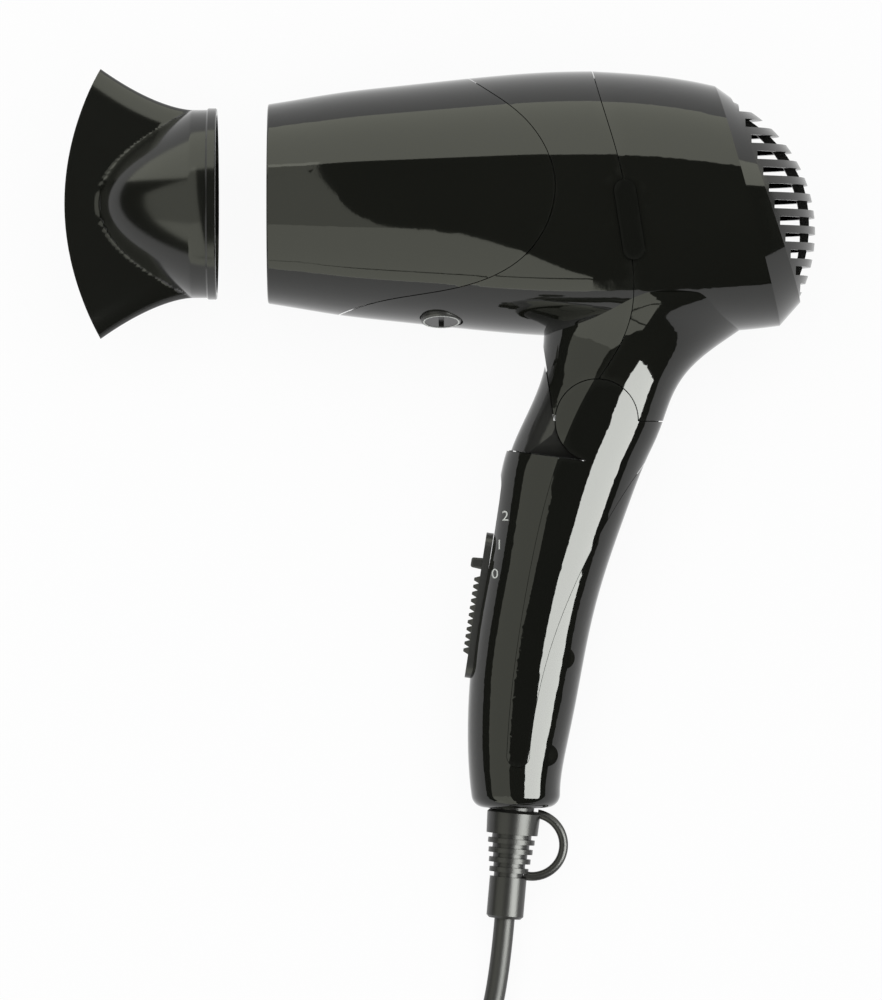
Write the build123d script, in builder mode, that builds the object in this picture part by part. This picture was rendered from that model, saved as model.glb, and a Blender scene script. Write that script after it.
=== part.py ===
"""Folding travel hair dryer with an air nozzle, lying on its side. Millimetres.

Everything but the cord is drawn in the dryer's own plane: the origin is the centre of the barrel's
mouth, +X runs back along the barrel, the handle points to -Y and the two sides face +Z and -Z.
The finished pieces are then turned together about X, so that the far seam clip and the handle's
end both touch the surface that the dryer lies on.
"""

import os
from math import asin, cos, degrees, hypot, pi, radians, sin, sqrt, tan

from build123d import *

os.makedirs("parts", exist_ok=True)

# ------------------------------------------------------------------ driving dimensions
WALL = 2.0  # moulded shells
SEAM_GAP = 0.25  # open line between two shells
FIT_GAP = 0.15  # between a piece and its seat
RUN_GAP = 0.3  # between faces that move past each other

MOUTH_R = 29.0  # bore that takes the nozzle
MOUTH_DEPTH = 12.5
LIP_ROUND = 0.6
WAIST_X = 97.0
WAIST_R = 39.8

# Barrel: radius at each station behind the mouth, up to its widest ring.
BARREL_STATIONS = [
    (0.0, MOUTH_R + 0.9), (5.0, MOUTH_R + 1.7), (21.6, WAIST_R - 6.4),
    (38.0, WAIST_R - 4.5), (55.0, WAIST_R - 2.7), (74.0, WAIST_R - 0.9),
]
# Behind that ring the sections lean back: (x, y, lean in degrees, radius).
REAR_SECTIONS = [
    (111.8, -0.2, 3.3, WAIST_R - 0.5), (128.2, -0.4, 9.3, WAIST_R - 1.2), (143.7, -0.6, 15.2, WAIST_R - 2.5),
]
INLET_RIM = (149.1, 1.2, 18.8, WAIST_R - 7.2)
CUT_Y = WAIST_R + 6.2  # cutting outlines end here, above the crest

# Neck and handle: ellipses down the grip as (y, front x, rear x, half thickness).
GRIP_SECTIONS = [
    (-27.0, 84.0, 154.0, 29.0),
    (-36.0, 83.0, 144.0, 22.5),
    (-42.0, 82.6, 135.5, 19.0),
    (-51.6, 81.0, 124.8, 17.2),
    (-66.0, 75.0, 118.2, 16.6),
    (-75.6, 71.1, 114.0, 16.5),
    (-90.0, 68.5, 108.3, 16.3),
    (-110.4, 65.3, 101.2, 16.0),
    (-133.3, 61.5, 95.4, 15.6),
    (-152.4, 60.0, 91.8, 15.3),
    (-181.0, 61.6, 87.9, 15.0),
]
GRIP_END_Y = -181.0
END_ROUND = 4.0

# Fold: the handle swings forward about the hinge, which lies across the neck.
HINGE = Vector(98.4, -65.1)
EAR_R = 12.3
EAR_INSIDE_Z = 10.5
NECK_FRONT = Vector(82.5, -42.3)  # where the neck's cheek meets the front of the neck
FOLD_STOP = 74.0  # degrees at which the cheeks would meet the handle's shoulder
FOLD_RANGE = 72.0  # degrees that the handle folds
CORE_R = 28.2  # the hinge core stays within this distance of the hinge
CORE_INSET = 1.3
CORE_HALF_Z = 13.2
ROOM_BEHIND = 4.4  # from here back, the handle's walls shape the folded core
MOUTH_WALL = 0.9  # thinned wall where the core slides in
PIN_R = 2.0
PIN_CLEARANCE = 0.05
PIN_HALF_LENGTH = 14.9

# Slide switch on the front of the handle.
TRACK_TOP = Vector(66.9, -98.7)  # upper end of the slider, on the front edge of the handle
TRACK_LEAN = 8.7  # degrees from Y
SLIDER_LENGTH = 44.0
SLIDER_WIDTH = 8.6
SLIDER_PROUD = 1.3
TRACK_DEPTH = 1.0
SLIDER_TRAVEL = 17.6
NUB_BELOW_TOP = 9.5
NUB_PROUD = 4.6
NUB_LENGTH = 3.4
KNURL_ROWS = 6
KNURL_PITCH = 4.3
KNURL_SIZE = 2.2
KNURL_PROUD = 2.9
KNURL_FROM_TOP = 14.4
SWITCH_STEM = (5.0, 3.4)
SWITCH_BODY = (32.0, 10.0, 10.0)
SWITCH_DEEPER = 1.4  # between the handle's front wall and the switch block

# Fittings in the handle.
CLAMP_ABOVE_END = 12.0
CLAMP_SIZE = (9.0, 6.0)
LEAD_R = 1.2
LEAD_OFFSET = 2.4
LEAD_FOOT = 29.6  # lower end of the switch block, down from the slider's top
SCREW_PLACES = [(88.5, -136.0, 12.0), (83.5, -165.0, 12.6)]  # x, y, half thickness there
SCREW_R = 1.4
SCREW_HEAD_R = 2.6
SCREW_HEAD = 1.6
SCREW_SUNK = 0.8
SCREW_LENGTH = 20.0
BOSS_R = 3.4

# Seam clip on each side of the barrel.
CLIP_CENTRE = (107.7, -5.7)
CLIP_LENGTH = 24.0
CLIP_WIDTH = 6.5
CLIP_LEAN = 9.0
CLIP_PROUD = 1.3
CLIP_SEAT = 1.1

# Inlet grille: a dome of horizontal slats.
GRILLE_R = INLET_RIM[3] - 1.3
DOME_HEIGHT = 13.4
GRILLE_WALL = 2.4
SLAT_PITCH = 4.9
SLAT_WIDTH = 2.3
SLOT_COUNT = 12
SLOT_TOP_Y = 28.6

# Outlet grille and heater.
OUTLET_R = MOUTH_R + 0.75
OUTLET_THICK = 2.4
OUTLET_RINGS = [6.0, 12.5, 19.0]
OUTLET_BAR = 1.3
SPOKE_COUNT = 6
SLEEVE_R = MOUTH_R - 2.4
SLEEVE_WALL = 0.6
SLEEVE_LENGTH = 58.5
BOARD_LENGTH = 46.0
BOARD_THICK = 0.8
HEATER_TURNS = 8
HEATER_PITCH = 4.8
WIRE_R = 0.5
NOTCH_DEPTH = 1.8
THERMOSTAT = (10.0, 7.0, 3.4)
FUSE_R = 1.6
FUSE_LENGTH = 12.0

# Motor, duct and fan.
DUCT_WALL = 1.4
DUCT_R = WAIST_R - 4.4
DUCT_BACK = 118.5
DUCT_CONE = 9.0
DUCT_SOCKET = 4.0  # overlap on the mica sleeve
FLANGE_R = WAIST_R - 2.8
FLANGE_X = 86.0
FLANGE_THICK = 3.0
MOTOR_R = 13.8
MOTOR_FRONT = 72.0
MOTOR_LENGTH = 31.5
CUP_WALL = 1.4
CUP_DEPTH = 20.0
VANE_COUNT = 7
VANE_THICK = 1.2
FAN_BEHIND_CUP = 1.4
FAN_DEPTH = 12.0
FAN_TIP_R = DUCT_R - DUCT_WALL - 1.4
FAN_HUB_R = 14.0
BLADE_COUNT = 7
BLADE_CHORD = 13.5
BLADE_ROOT_PITCH = 32.0  # degrees from the axis
BLADE_TIP_PITCH = 55.0
SHAFT_R = 1.15
SHAFT_DEPTH = 5.0  # length inside the motor
RECTIFIER_R = 12.5
RECTIFIER_THICK = 1.6
DIODE_R = 1.4
DIODE_LENGTH = 4.0

# Voltage selector under the barrel.
DIAL_X = 52.0
DIAL_R = 6.2
DIAL_LEAN = 18.0
DIAL_REACH = 37.4  # distance of its face from the barrel's axis
DIAL_THICK = 3.8
DIAL_SLOT = (9.0, 1.6, 1.2)
SELECTOR_BLOCK = (11.0, 11.0, 6.0)

# Nozzle, drawn pulled off the mouth.
NOZZLE_GAP = 15.3  # from the barrel's lip to the nozzle's rear rim
NOZZLE_RIM_R = 28.7
NOZZLE_WAIST_R = 28.2
NOZZLE_WALL = 1.5
COLLAR_LENGTH = 8.5
CONE_APEX_X = -50.4
SLOT_HALF_Z = 5.2
LIP_TIP = (-50.2, 40.5)
LIP_NOSE_X = -60.9
LIP_FLARE = 0.5  # slope of the flared sides at the tips

# Strain relief and hang loop.
RELIEF_LEAN = 5.0
RELIEF_TOP = Vector(73.9, GRIP_END_Y)
COLLAR_R = 8.0
RIB_TOP_R = 7.4
RIB_END_R = 5.7
RELIEF_SLEEVE_R = 5.55
COLLAR_START = 0.85  # clears the handle's end although the relief leans
RELIEF_COLLAR = 8.0
RELIEF_RIBS = 13.0
RELIEF_LENGTH = 33.4
RELIEF_PLUG = 5.0
RELIEF_PLUG_R = 6.0
GROOVE_COUNT = 4
GROOVE_DEPTH = 1.3
LOOP_R = 10.05
LOOP_BAR_R = 1.35
LOOP_CENTRE = Vector(78.6, -191.5)

# Cord, coil and plug.
CORD_R = 3.05
CORD_LIFT = 0.1  # between the cord and the surface
COIL_PITCH = 6.6
COIL_LAYER = 6.6
COIL_OUTER_R = 47.3
COIL_TURNS = 4  # in the lower layer
COIL_STEP_IN = 1.2  # extra step beside the climb
COIL_LEFT = 59.0  # where the cord meets the coil's left side
COIL_Y = -300.0
COIL_LEAD_IN = 22.0
# The cord's way to the coil and on to the plug, as (x, y, height above its lowest line).
LEAD_ROUTE = [(66.5, -243.0, 1.2), (60.3, -259.0, 0.0)]
TAIL_ROUTE = [(0.0, -30.0, 6.6), (0.5, -55.0, 2.0), (3.0, -78.0, 5.3), (3.0, -96.0, 5.3)]
PLUG_BODY = (24.0, 36.0, 17.0)
PLUG_NECK = 8.0
BLADE_SIZE = (6.4, 17.0, 1.5)
BLADE_SPACING = 12.7

REACH = 60.0  # half depth of every cutting prism


# ------------------------------------------------------------------ resting pose
CLIP_LOW = sqrt((WAIST_R - 0.35) ** 2 - CLIP_CENTRE[1] ** 2) + CLIP_PROUD
CLIP_LOW_R = hypot(CLIP_CENTRE[1], CLIP_LOW)
HANDLE_HALF_Z = GRIP_SECTIONS[-1][3]
HANDLE_FOOT_Y = -(GRIP_END_Y + END_ROUND)
REST_TILT = degrees(asin((CLIP_LOW_R - HANDLE_HALF_Z) / HANDLE_FOOT_Y))
FLOOR_Z = -(HANDLE_FOOT_Y * sin(radians(REST_TILT)) + HANDLE_HALF_Z * cos(radians(REST_TILT)))


def laid_down(point):
    """A point of the dryer's plane where it lies once the dryer is turned to rest."""
    return Vector(*point).rotate(Axis.X, REST_TILT)


def about_hinge(point, angle):
    """A point of the dryer's plane, swung about the hinge."""
    return (point - HINGE).rotate(Axis.Z, angle) + HINGE


def write(piece, name):
    """Turn a finished piece to its resting pose, label it and write its STEP file."""
    piece.part = piece.part.rotate(Axis.X, REST_TILT)
    piece.part.label = name
    export_step(piece.part, f"parts/{name}.step")


# ------------------------------------------------------------------ outer forms
def leaning(section, inset=0.0):
    """Plane and radius of one leaning section of the barrel."""
    x, y, lean, radius = section
    normal = (cos(radians(lean)), sin(radians(lean)), 0)
    return Plane(origin=(x, y, 0), x_dir=(0, 0, 1), z_dir=normal), radius - inset


def barrel_form(inset=0.0):
    """The barrel as a solid, drawn in all round by inset."""
    with BuildPart() as form:
        with BuildSketch(Plane.XY):
            with BuildLine():
                side = [(x, r - inset) for x, r in BARREL_STATIONS] + [(WAIST_X, WAIST_R - inset)]
                crest = Spline(*side, tangents=[(1, 0.16), (1, 0)])
                Polyline(crest @ 1, (WAIST_X, 0), (0, 0), crest @ 0)
            make_face()
        revolve(axis=Axis.X)
        for section in [(WAIST_X, 0, 0, WAIST_R)] + REAR_SECTIONS:
            plane, radius = leaning(section, inset)
            with BuildSketch(plane):
                Circle(radius)
        loft()
        for section in (REAR_SECTIONS[-1], INLET_RIM):
            plane, radius = leaning(section, inset)
            with BuildSketch(plane):
                Circle(radius)
        loft(ruled=True)
    return form.part


def grip_form(inset=0.0):
    """Neck and handle as one solid, drawn in all round by inset."""
    with BuildPart() as form:
        for y, front, rear, half_z in GRIP_SECTIONS:
            with BuildSketch(Plane(origin=((front + rear) / 2, y, 0), x_dir=(1, 0, 0), z_dir=(0, -1, 0))):
                Ellipse((rear - front) / 2 - inset, half_z - inset)
        loft()
        if inset > 0:
            with BuildSketch(Plane.XZ.offset(-GRIP_END_Y - inset)):
                Rectangle(4 * REACH, 4 * REACH)
            extrude(amount=REACH, mode=Mode.SUBTRACT)
        else:
            end = form.faces().sort_by(Axis.Y)[0]
            fillet(end.edges(), END_ROUND)
    return form.part


barrel = barrel_form()
barrel_inside = barrel_form(WALL)
grip = grip_form()
grip_inside = grip_form(WALL)


# ------------------------------------------------------------------ seams, drawn in the dryer's plane
def nose_seam():
    """The S-shaped rear edge of the nose cover."""
    return Spline((52.0, CUT_Y), (59.5, 38.0), (75.9, 25.5), (85.7, 5.1), (77.4, -15.6),
                  (62.3, -24.2), (33.3, -29.7), (20.9, -33.5), (10.0, -39.0))


def rear_seam():
    """The front edge of the rear housing, from the crown down to the handle's ear."""
    return Spline((96.2, CUT_Y), (97.3, 39.0), (101.9, 21.7), (105.9, 6.0), (108.6, -17.0),
                  (108.8, -31.9), (106.0, -41.0), (98.6, -53.2), (94.0, -61.0))


def prism(face):
    """A sketched region of the dryer's plane, carried through the whole depth."""
    with BuildPart() as body:
        add(face)
        extrude(amount=REACH, both=True)
    return body.part


with BuildSketch(Plane.XY) as nose_region:
    with BuildLine():
        nose_edge = nose_seam()
        Polyline(nose_edge @ 1, (-5.0, -CUT_Y), (-5.0, CUT_Y), nose_edge @ 0)
    make_face()

with BuildSketch(Plane.XY) as rear_region:
    with BuildLine():
        rear_edge = rear_seam()
        Polyline(rear_edge @ 1, (94.0, -80.0), (190.0, -80.0), (190.0, CUT_Y), rear_edge @ 0)
    make_face()

with BuildSketch(Plane.XY) as seam_lines:
    with BuildLine():
        nose_seam()
    trace(line_width=SEAM_GAP)
    with BuildLine():
        rear_seam()
    trace(line_width=SEAM_GAP)

# The cheeks of the neck stop round the handle's ears, along the neck's front and at the rear ledge.
cheek_foot = HINGE + Vector(-(EAR_R + RUN_GAP), 0)
shoulder_outer = about_hinge(NECK_FRONT, FOLD_STOP)
shoulder_inner = about_hinge(cheek_foot, FOLD_STOP)
shoulder_run = (shoulder_outer - shoulder_inner) * 0.5

with BuildSketch(Plane.XY) as below_cheeks:
    with BuildLine():
        Polyline(
            (50.0, NECK_FRONT.Y), NECK_FRONT, cheek_foot, (HINGE.X, HINGE.Y), (130.0, HINGE.Y),
            (130.0, -200.0), (50.0, -200.0), close=True,
        )
    make_face()
    with Locations((HINGE.X, HINGE.Y)):
        Circle(EAR_R + RUN_GAP)

with BuildSketch(Plane.XY) as handle_region:
    with BuildLine():
        Polyline(
            shoulder_outer + shoulder_run, shoulder_inner, (HINGE.X, HINGE.Y - RUN_GAP),
            (130.0, HINGE.Y - RUN_GAP), (130.0, -200.0), (45.0, -200.0), close=True,
        )
    make_face()
    with Locations((HINGE.X, HINGE.Y)):
        Circle(EAR_R)

# ------------------------------------------------------------------ barrel shells
with BuildPart() as housing_skin:
    add(barrel)
    add(grip)
    add(barrel_inside, mode=Mode.SUBTRACT)
    add(grip_inside, mode=Mode.SUBTRACT)
    with BuildSketch(Plane.YZ.offset(-1.0)):
        Circle(MOUTH_R)
    extrude(amount=MOUTH_DEPTH + 1.0, mode=Mode.SUBTRACT)
    add(prism(below_cheeks.sketch), mode=Mode.SUBTRACT)
    add(prism(seam_lines.sketch), mode=Mode.SUBTRACT)

clip_plane = Plane(origin=(*CLIP_CENTRE, 0)).rotated((0, 0, CLIP_LEAN))


def clip_prism(side, grow):
    """The pill's outline, carried outward on one side of the barrel."""
    with BuildPart() as body:
        with BuildSketch(clip_plane):
            SlotOverall(CLIP_LENGTH + 2 * grow, CLIP_WIDTH + 2 * grow, rotation=90)
        extrude(amount=side * REACH)
    return body.part


seat_form = barrel_form(CLIP_SEAT + FIT_GAP)
with BuildPart() as clip_pockets:
    add(clip_prism(1, FIT_GAP))
    add(clip_prism(-1, FIT_GAP))
    add(seat_form, mode=Mode.SUBTRACT)

with BuildPart() as nose_cover:
    add(housing_skin.part)
    add(prism(nose_region.sketch), mode=Mode.INTERSECT)
    lip = nose_cover.edges().filter_by(GeomType.CIRCLE).group_by(Axis.X)[0]
    fillet(lip.sort_by(SortBy.RADIUS)[-1], LIP_ROUND)

dial_axis = Vector(0, -cos(radians(DIAL_LEAN)), sin(radians(DIAL_LEAN)))
dial_plane = Plane(origin=Vector(DIAL_X, 0, 0) + dial_axis * DIAL_REACH, x_dir=(1, 0, 0), z_dir=dial_axis)

with BuildPart() as front_housing:
    add(housing_skin.part)
    add(prism(nose_region.sketch), mode=Mode.SUBTRACT)
    add(prism(rear_region.sketch), mode=Mode.SUBTRACT)
    add(clip_pockets.part, mode=Mode.SUBTRACT)
    with BuildSketch(dial_plane.offset(2.0)):
        Circle(DIAL_R + RUN_GAP)
    extrude(amount=-10.0, mode=Mode.SUBTRACT)

rim_plane, rim_r = leaning(INLET_RIM)
with BuildPart() as rear_housing:
    add(housing_skin.part)
    add(prism(rear_region.sketch), mode=Mode.INTERSECT)
    add(clip_pockets.part, mode=Mode.SUBTRACT)
    with BuildSketch(rim_plane.offset(0.5)):
        Circle(GRILLE_R + FIT_GAP)
    extrude(amount=-(GRILLE_WALL + 0.5 + FIT_GAP), mode=Mode.SUBTRACT)
    with BuildSketch(rim_plane):
        Circle(GRILLE_R - WALL)
    extrude(amount=-8.0, mode=Mode.SUBTRACT)

# ------------------------------------------------------------------ seam clips
clip_skin = barrel_form(-CLIP_PROUD)
clip_base = barrel_form(CLIP_SEAT)


def seam_clip(side):
    """A glossy pill that follows the barrel and sits in its pocket."""
    with BuildPart() as clip:
        add(clip_prism(side, 0))
        add(clip_skin, mode=Mode.INTERSECT)
        add(clip_base, mode=Mode.SUBTRACT)
    return clip


# ------------------------------------------------------------------ inlet grille
dome_r = (GRILLE_R**2 + DOME_HEIGHT**2) / (2 * DOME_HEIGHT)
with BuildPart() as inlet_grille:
    dome_plane = Plane(origin=rim_plane.origin, x_dir=rim_plane.z_dir, z_dir=(0, 0, 1))
    with BuildSketch(dome_plane):
        with BuildLine():
            base = -GRILLE_WALL
            inner_r = dome_r - GRILLE_WALL
            top = RadiusArc((0, GRILLE_R), (DOME_HEIGHT, 0), dome_r)
            Line((DOME_HEIGHT, 0), (DOME_HEIGHT - GRILLE_WALL, 0))
            foot = sqrt(inner_r**2 - (dome_r - DOME_HEIGHT) ** 2)
            RadiusArc((DOME_HEIGHT - GRILLE_WALL, 0), (0, foot), -inner_r)
            Polyline((0, foot), (base, foot), (base, GRILLE_R), (0, GRILLE_R))
        make_face()
    revolve(axis=Axis(rim_plane.origin, rim_plane.z_dir))
    slot_centres = [SLOT_TOP_Y - SLAT_PITCH * i for i in range(SLOT_COUNT)]
    with BuildSketch(Plane.XY):
        for y in slot_centres:
            left = rim_plane.origin.X + (rim_plane.origin.Y - y) * tan(radians(INLET_RIM[2])) + 1.2
            with Locations(((left + 200.0) / 2, y)):
                Rectangle(200.0 - left, SLAT_PITCH - SLAT_WIDTH)
    extrude(amount=REACH, both=True, mode=Mode.SUBTRACT)
    # Upright ribs inside tie the slats together.
    with BuildSketch(dome_plane):
        with BuildLine():
            RadiusArc((0, foot - 0.3), (DOME_HEIGHT - 1.2, 0), inner_r + 1.2)
            RadiusArc((DOME_HEIGHT - 1.2, 0), (0, -foot + 0.3), inner_r + 1.2)
            Polyline((0, -foot + 0.3), (base, -foot + 0.3))
            RadiusArc((base, -foot + 0.3), (DOME_HEIGHT - GRILLE_WALL - 2.0, 0), -inner_r)
            RadiusArc((DOME_HEIGHT - GRILLE_WALL - 2.0, 0), (base, foot - 0.3), -inner_r)
            Line((base, foot - 0.3), (0, foot - 0.3))
        make_face()
    extrude(amount=1.0, both=True)

# ------------------------------------------------------------------ hinge core and pin
core_form = grip_form(CORE_INSET)
core_socket = grip_form(WALL + FIT_GAP)
with BuildSketch(Plane.XY) as core_front:
    with BuildLine():
        Polyline(
            (50.0, NECK_FRONT.Y - RUN_GAP), NECK_FRONT - Vector(RUN_GAP, RUN_GAP),
            cheek_foot - Vector(RUN_GAP, 0), (HINGE.X, HINGE.Y), shoulder_inner + Vector(0, RUN_GAP),
            shoulder_outer + shoulder_run + Vector(0, RUN_GAP), close=True,
        )
    make_face()
    with Locations((HINGE.X, HINGE.Y)):
        Circle(EAR_R - 0.6)
with BuildSketch(Plane.XY) as core_root:
    with BuildLine():
        Polyline(
            (76.0, -42.6), (112.0, -42.6), (110.0, HINGE.Y + 2.0), (HINGE.X, HINGE.Y), (76.0, -62.0), close=True,
        )
    make_face()
with BuildPart() as folded_room:
    add(grip_form(WALL + RUN_GAP))
    with BuildSketch(Plane.XY.offset(-REACH)):
        with Locations((HINGE.X - ROOM_BEHIND, HINGE.Y)):
            Rectangle(REACH, 2 * REACH, align=(Align.MAX, Align.CENTER))
    extrude(amount=2 * REACH)
hinge_line = Axis((HINGE.X, HINGE.Y, 0), (0, 0, 1))
with BuildPart() as core_front_solid:
    add(core_form)
    add(prism(core_front.sketch), mode=Mode.INTERSECT)
    # Folded, it lies between the handle's walls.
    add(folded_room.part.rotate(hinge_line, -FOLD_RANGE), mode=Mode.INTERSECT)
with BuildPart() as hinge_core:
    add(core_socket)
    add(prism(core_root.sketch), mode=Mode.INTERSECT)
    add(core_front_solid.part)
    with BuildSketch(Plane.XY.offset(-CORE_HALF_Z)):
        with Locations((HINGE.X, HINGE.Y)):
            Circle(CORE_R)
    extrude(amount=2 * CORE_HALF_Z, mode=Mode.INTERSECT)
    # The ears turn in round seats on both sides of the knuckle.
    for side in (1, -1):
        with BuildSketch(Plane.XY.offset(side * (EAR_INSIDE_Z - RUN_GAP))):
            with Locations((HINGE.X, HINGE.Y)):
                Circle(EAR_R + RUN_GAP)
        extrude(amount=side * REACH, mode=Mode.SUBTRACT)
    # Way for the leads behind the pin.
    with BuildSketch(Plane.XY.offset(-4.0)):
        with Locations((HINGE.X + 6.5, -60.0)):
            Rectangle(5.0, 50.0)
    extrude(amount=8.0, mode=Mode.SUBTRACT)
    with BuildSketch(Plane.XY.offset(-CORE_HALF_Z)):
        with Locations((HINGE.X, HINGE.Y)):
            Circle(PIN_R)
    extrude(amount=2 * CORE_HALF_Z, mode=Mode.SUBTRACT)

with BuildPart() as hinge_pin:
    with BuildSketch(Plane.XY.offset(-PIN_HALF_LENGTH)):
        with Locations((HINGE.X, HINGE.Y)):
            Circle(PIN_R)
    extrude(amount=2 * PIN_HALF_LENGTH)
    chamfer(hinge_pin.edges(), 0.3)

# ------------------------------------------------------------------ handle
slide_up = Vector(sin(radians(TRACK_LEAN)), cos(radians(TRACK_LEAN)))
slide_out = Vector(-slide_up.Y, slide_up.X)
track_plane = Plane(origin=TRACK_TOP, x_dir=-slide_up, z_dir=slide_out)

with BuildSketch(Plane.XY) as trim_region:
    with BuildLine():
        left = Spline(
            (99.5, -50.0), (88.2, -72.6), (83.1, -88.8), (76.7, -119.3), (72.6, -149.0), (71.5, -164.5),
        )
        tip = ThreePointArc((71.5, -164.5), (74.9, -168.7), (78.4, -164.8))
        right = Spline(
            (78.4, -164.8), (80.0, -152.4), (84.5, -133.6), (91.7, -114.7), (103.1, -92.6), (116.0, -74.0),
        )
        Polyline((116.0, -74.0), (130.0, -74.0), (130.0, -50.0), (99.5, -50.0))
    make_face()
with BuildSketch(Plane.XY) as trim_seam:
    with BuildLine():
        add(trim_region.sketch.wires()[0])
    trace(line_width=SEAM_GAP)

trim_base = grip_form(1.0)
with BuildPart() as trim_layer:
    add(grip)
    add(trim_base, mode=Mode.SUBTRACT)
    add(prism(handle_region.sketch), mode=Mode.INTERSECT)

with BuildPart() as handle_trim_seat:
    add(trim_layer.part)
    add(prism(trim_region.sketch), mode=Mode.INTERSECT)

with BuildPart() as handle_trim:
    add(handle_trim_seat.part)
    add(prism(trim_seam.sketch), mode=Mode.SUBTRACT)

mouth_form = grip_form(MOUTH_WALL)
with BuildSketch(Plane.XY) as mouth_zone:
    with BuildLine():
        Polyline((60.0, -70.0), (88.0, -70.0), (88.0, -86.0), (60.0, -86.0), close=True)
    make_face()
    with Locations((HINGE.X, HINGE.Y)):
        Circle(CORE_R + RUN_GAP, mode=Mode.INTERSECT)
        Circle(EAR_R, mode=Mode.SUBTRACT)
with BuildPart() as mouth_hollow:
    add(mouth_form)
    add(prism(mouth_zone.sketch), mode=Mode.INTERSECT)
with BuildPart() as knuckle_room:
    with BuildSketch(Plane.XY.offset(-EAR_INSIDE_Z)):
        with Locations((HINGE.X, HINGE.Y)):
            Circle(EAR_R + RUN_GAP)
    extrude(amount=2 * EAR_INSIDE_Z)
with BuildPart() as handle_hollow:
    add(grip_inside)
    for side in (1, -1):
        with BuildSketch(Plane.XY.offset(side * EAR_INSIDE_Z)):
            with Locations((HINGE.X, HINGE.Y)):
                Circle(EAR_R)
        extrude(amount=side * REACH, mode=Mode.SUBTRACT)
    add(mouth_hollow.part)
    add(knuckle_room.part)

relief_axis = Vector(-sin(radians(RELIEF_LEAN)), -cos(radians(RELIEF_LEAN)))
relief_plane = Plane(origin=RELIEF_TOP, x_dir=(0, 0, 1), z_dir=relief_axis)


def handle_half(side):
    """One half shell of the handle, with its hinge ear."""
    with BuildPart() as half:
        add(grip)
        add(prism(handle_region.sketch), mode=Mode.INTERSECT)
        add(handle_hollow.part, mode=Mode.SUBTRACT)
        add(handle_trim_seat.part, mode=Mode.SUBTRACT)
        # Bosses for the two screws that hold the halves together.
        for x, y, half_z in SCREW_PLACES:
            with BuildSketch(Plane.XY):
                with Locations((x, y)):
                    Circle(BOSS_R)
            extrude(amount=half_z - 1.2, both=True)
            with BuildSketch(Plane.XY.offset(-half_z + SCREW_SUNK - 0.1)):
                with Locations((x, y)):
                    Circle(SCREW_R + 0.05)
            extrude(amount=SCREW_LENGTH + 1.0, mode=Mode.SUBTRACT)
            with BuildSketch(Plane.XY.offset(-half_z + SCREW_SUNK + SCREW_HEAD + 0.1)):
                with Locations((x, y)):
                    Circle(SCREW_HEAD_R + 0.1)
            extrude(amount=-6.0, mode=Mode.SUBTRACT)
        # Flat track for the slider, with a slot for its stem.
        with BuildSketch(track_plane.offset(-TRACK_DEPTH)):
            with Locations(((SLIDER_LENGTH - SLIDER_TRAVEL) / 2, 0)):
                SlotOverall(SLIDER_LENGTH + SLIDER_TRAVEL + 2 * FIT_GAP, SLIDER_WIDTH + 2 * FIT_GAP)
        extrude(amount=8.0, mode=Mode.SUBTRACT)
        with BuildSketch(track_plane.offset(1.0)):
            with Locations(((SLIDER_LENGTH - SLIDER_TRAVEL) / 2, 0)):
                Rectangle(SLIDER_TRAVEL + SWITCH_STEM[0] + 1.0, SWITCH_STEM[1] + 1.0)
        extrude(amount=-10.0, mode=Mode.SUBTRACT)
        with BuildSketch(Plane.XY):
            with Locations((HINGE.X, HINGE.Y)):
                Circle(PIN_R + PIN_CLEARANCE)
        extrude(amount=PIN_HALF_LENGTH + 0.2, both=True, mode=Mode.SUBTRACT)
        with BuildSketch(relief_plane.offset(-6.0)):
            Circle(RELIEF_PLUG_R + FIT_GAP)
        extrude(amount=8.0, mode=Mode.SUBTRACT)
        with BuildSketch(Plane.XY.offset(side * SEAM_GAP / 4)):
            with Locations((90.0, -120.0)):
                Rectangle(200.0, 200.0)
        extrude(amount=side * REACH, mode=Mode.INTERSECT)
    return half


switch_plane = track_plane.offset(-(WALL + SWITCH_DEEPER))
with BuildPart() as switch_block:
    with BuildSketch(switch_plane):
        with Locations((SLIDER_LENGTH / 2 - SLIDER_TRAVEL / 2, 0)):
            Rectangle(SWITCH_BODY[0], SWITCH_BODY[1])
    extrude(amount=-SWITCH_BODY[2])
    with BuildSketch(switch_plane):
        with Locations((SLIDER_LENGTH / 2 - SLIDER_TRAVEL / 2, 0)):
            Rectangle(SLIDER_TRAVEL + SWITCH_STEM[0] + 1.0, SWITCH_STEM[1] + 1.0)
    extrude(amount=-3.0, mode=Mode.SUBTRACT)

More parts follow.
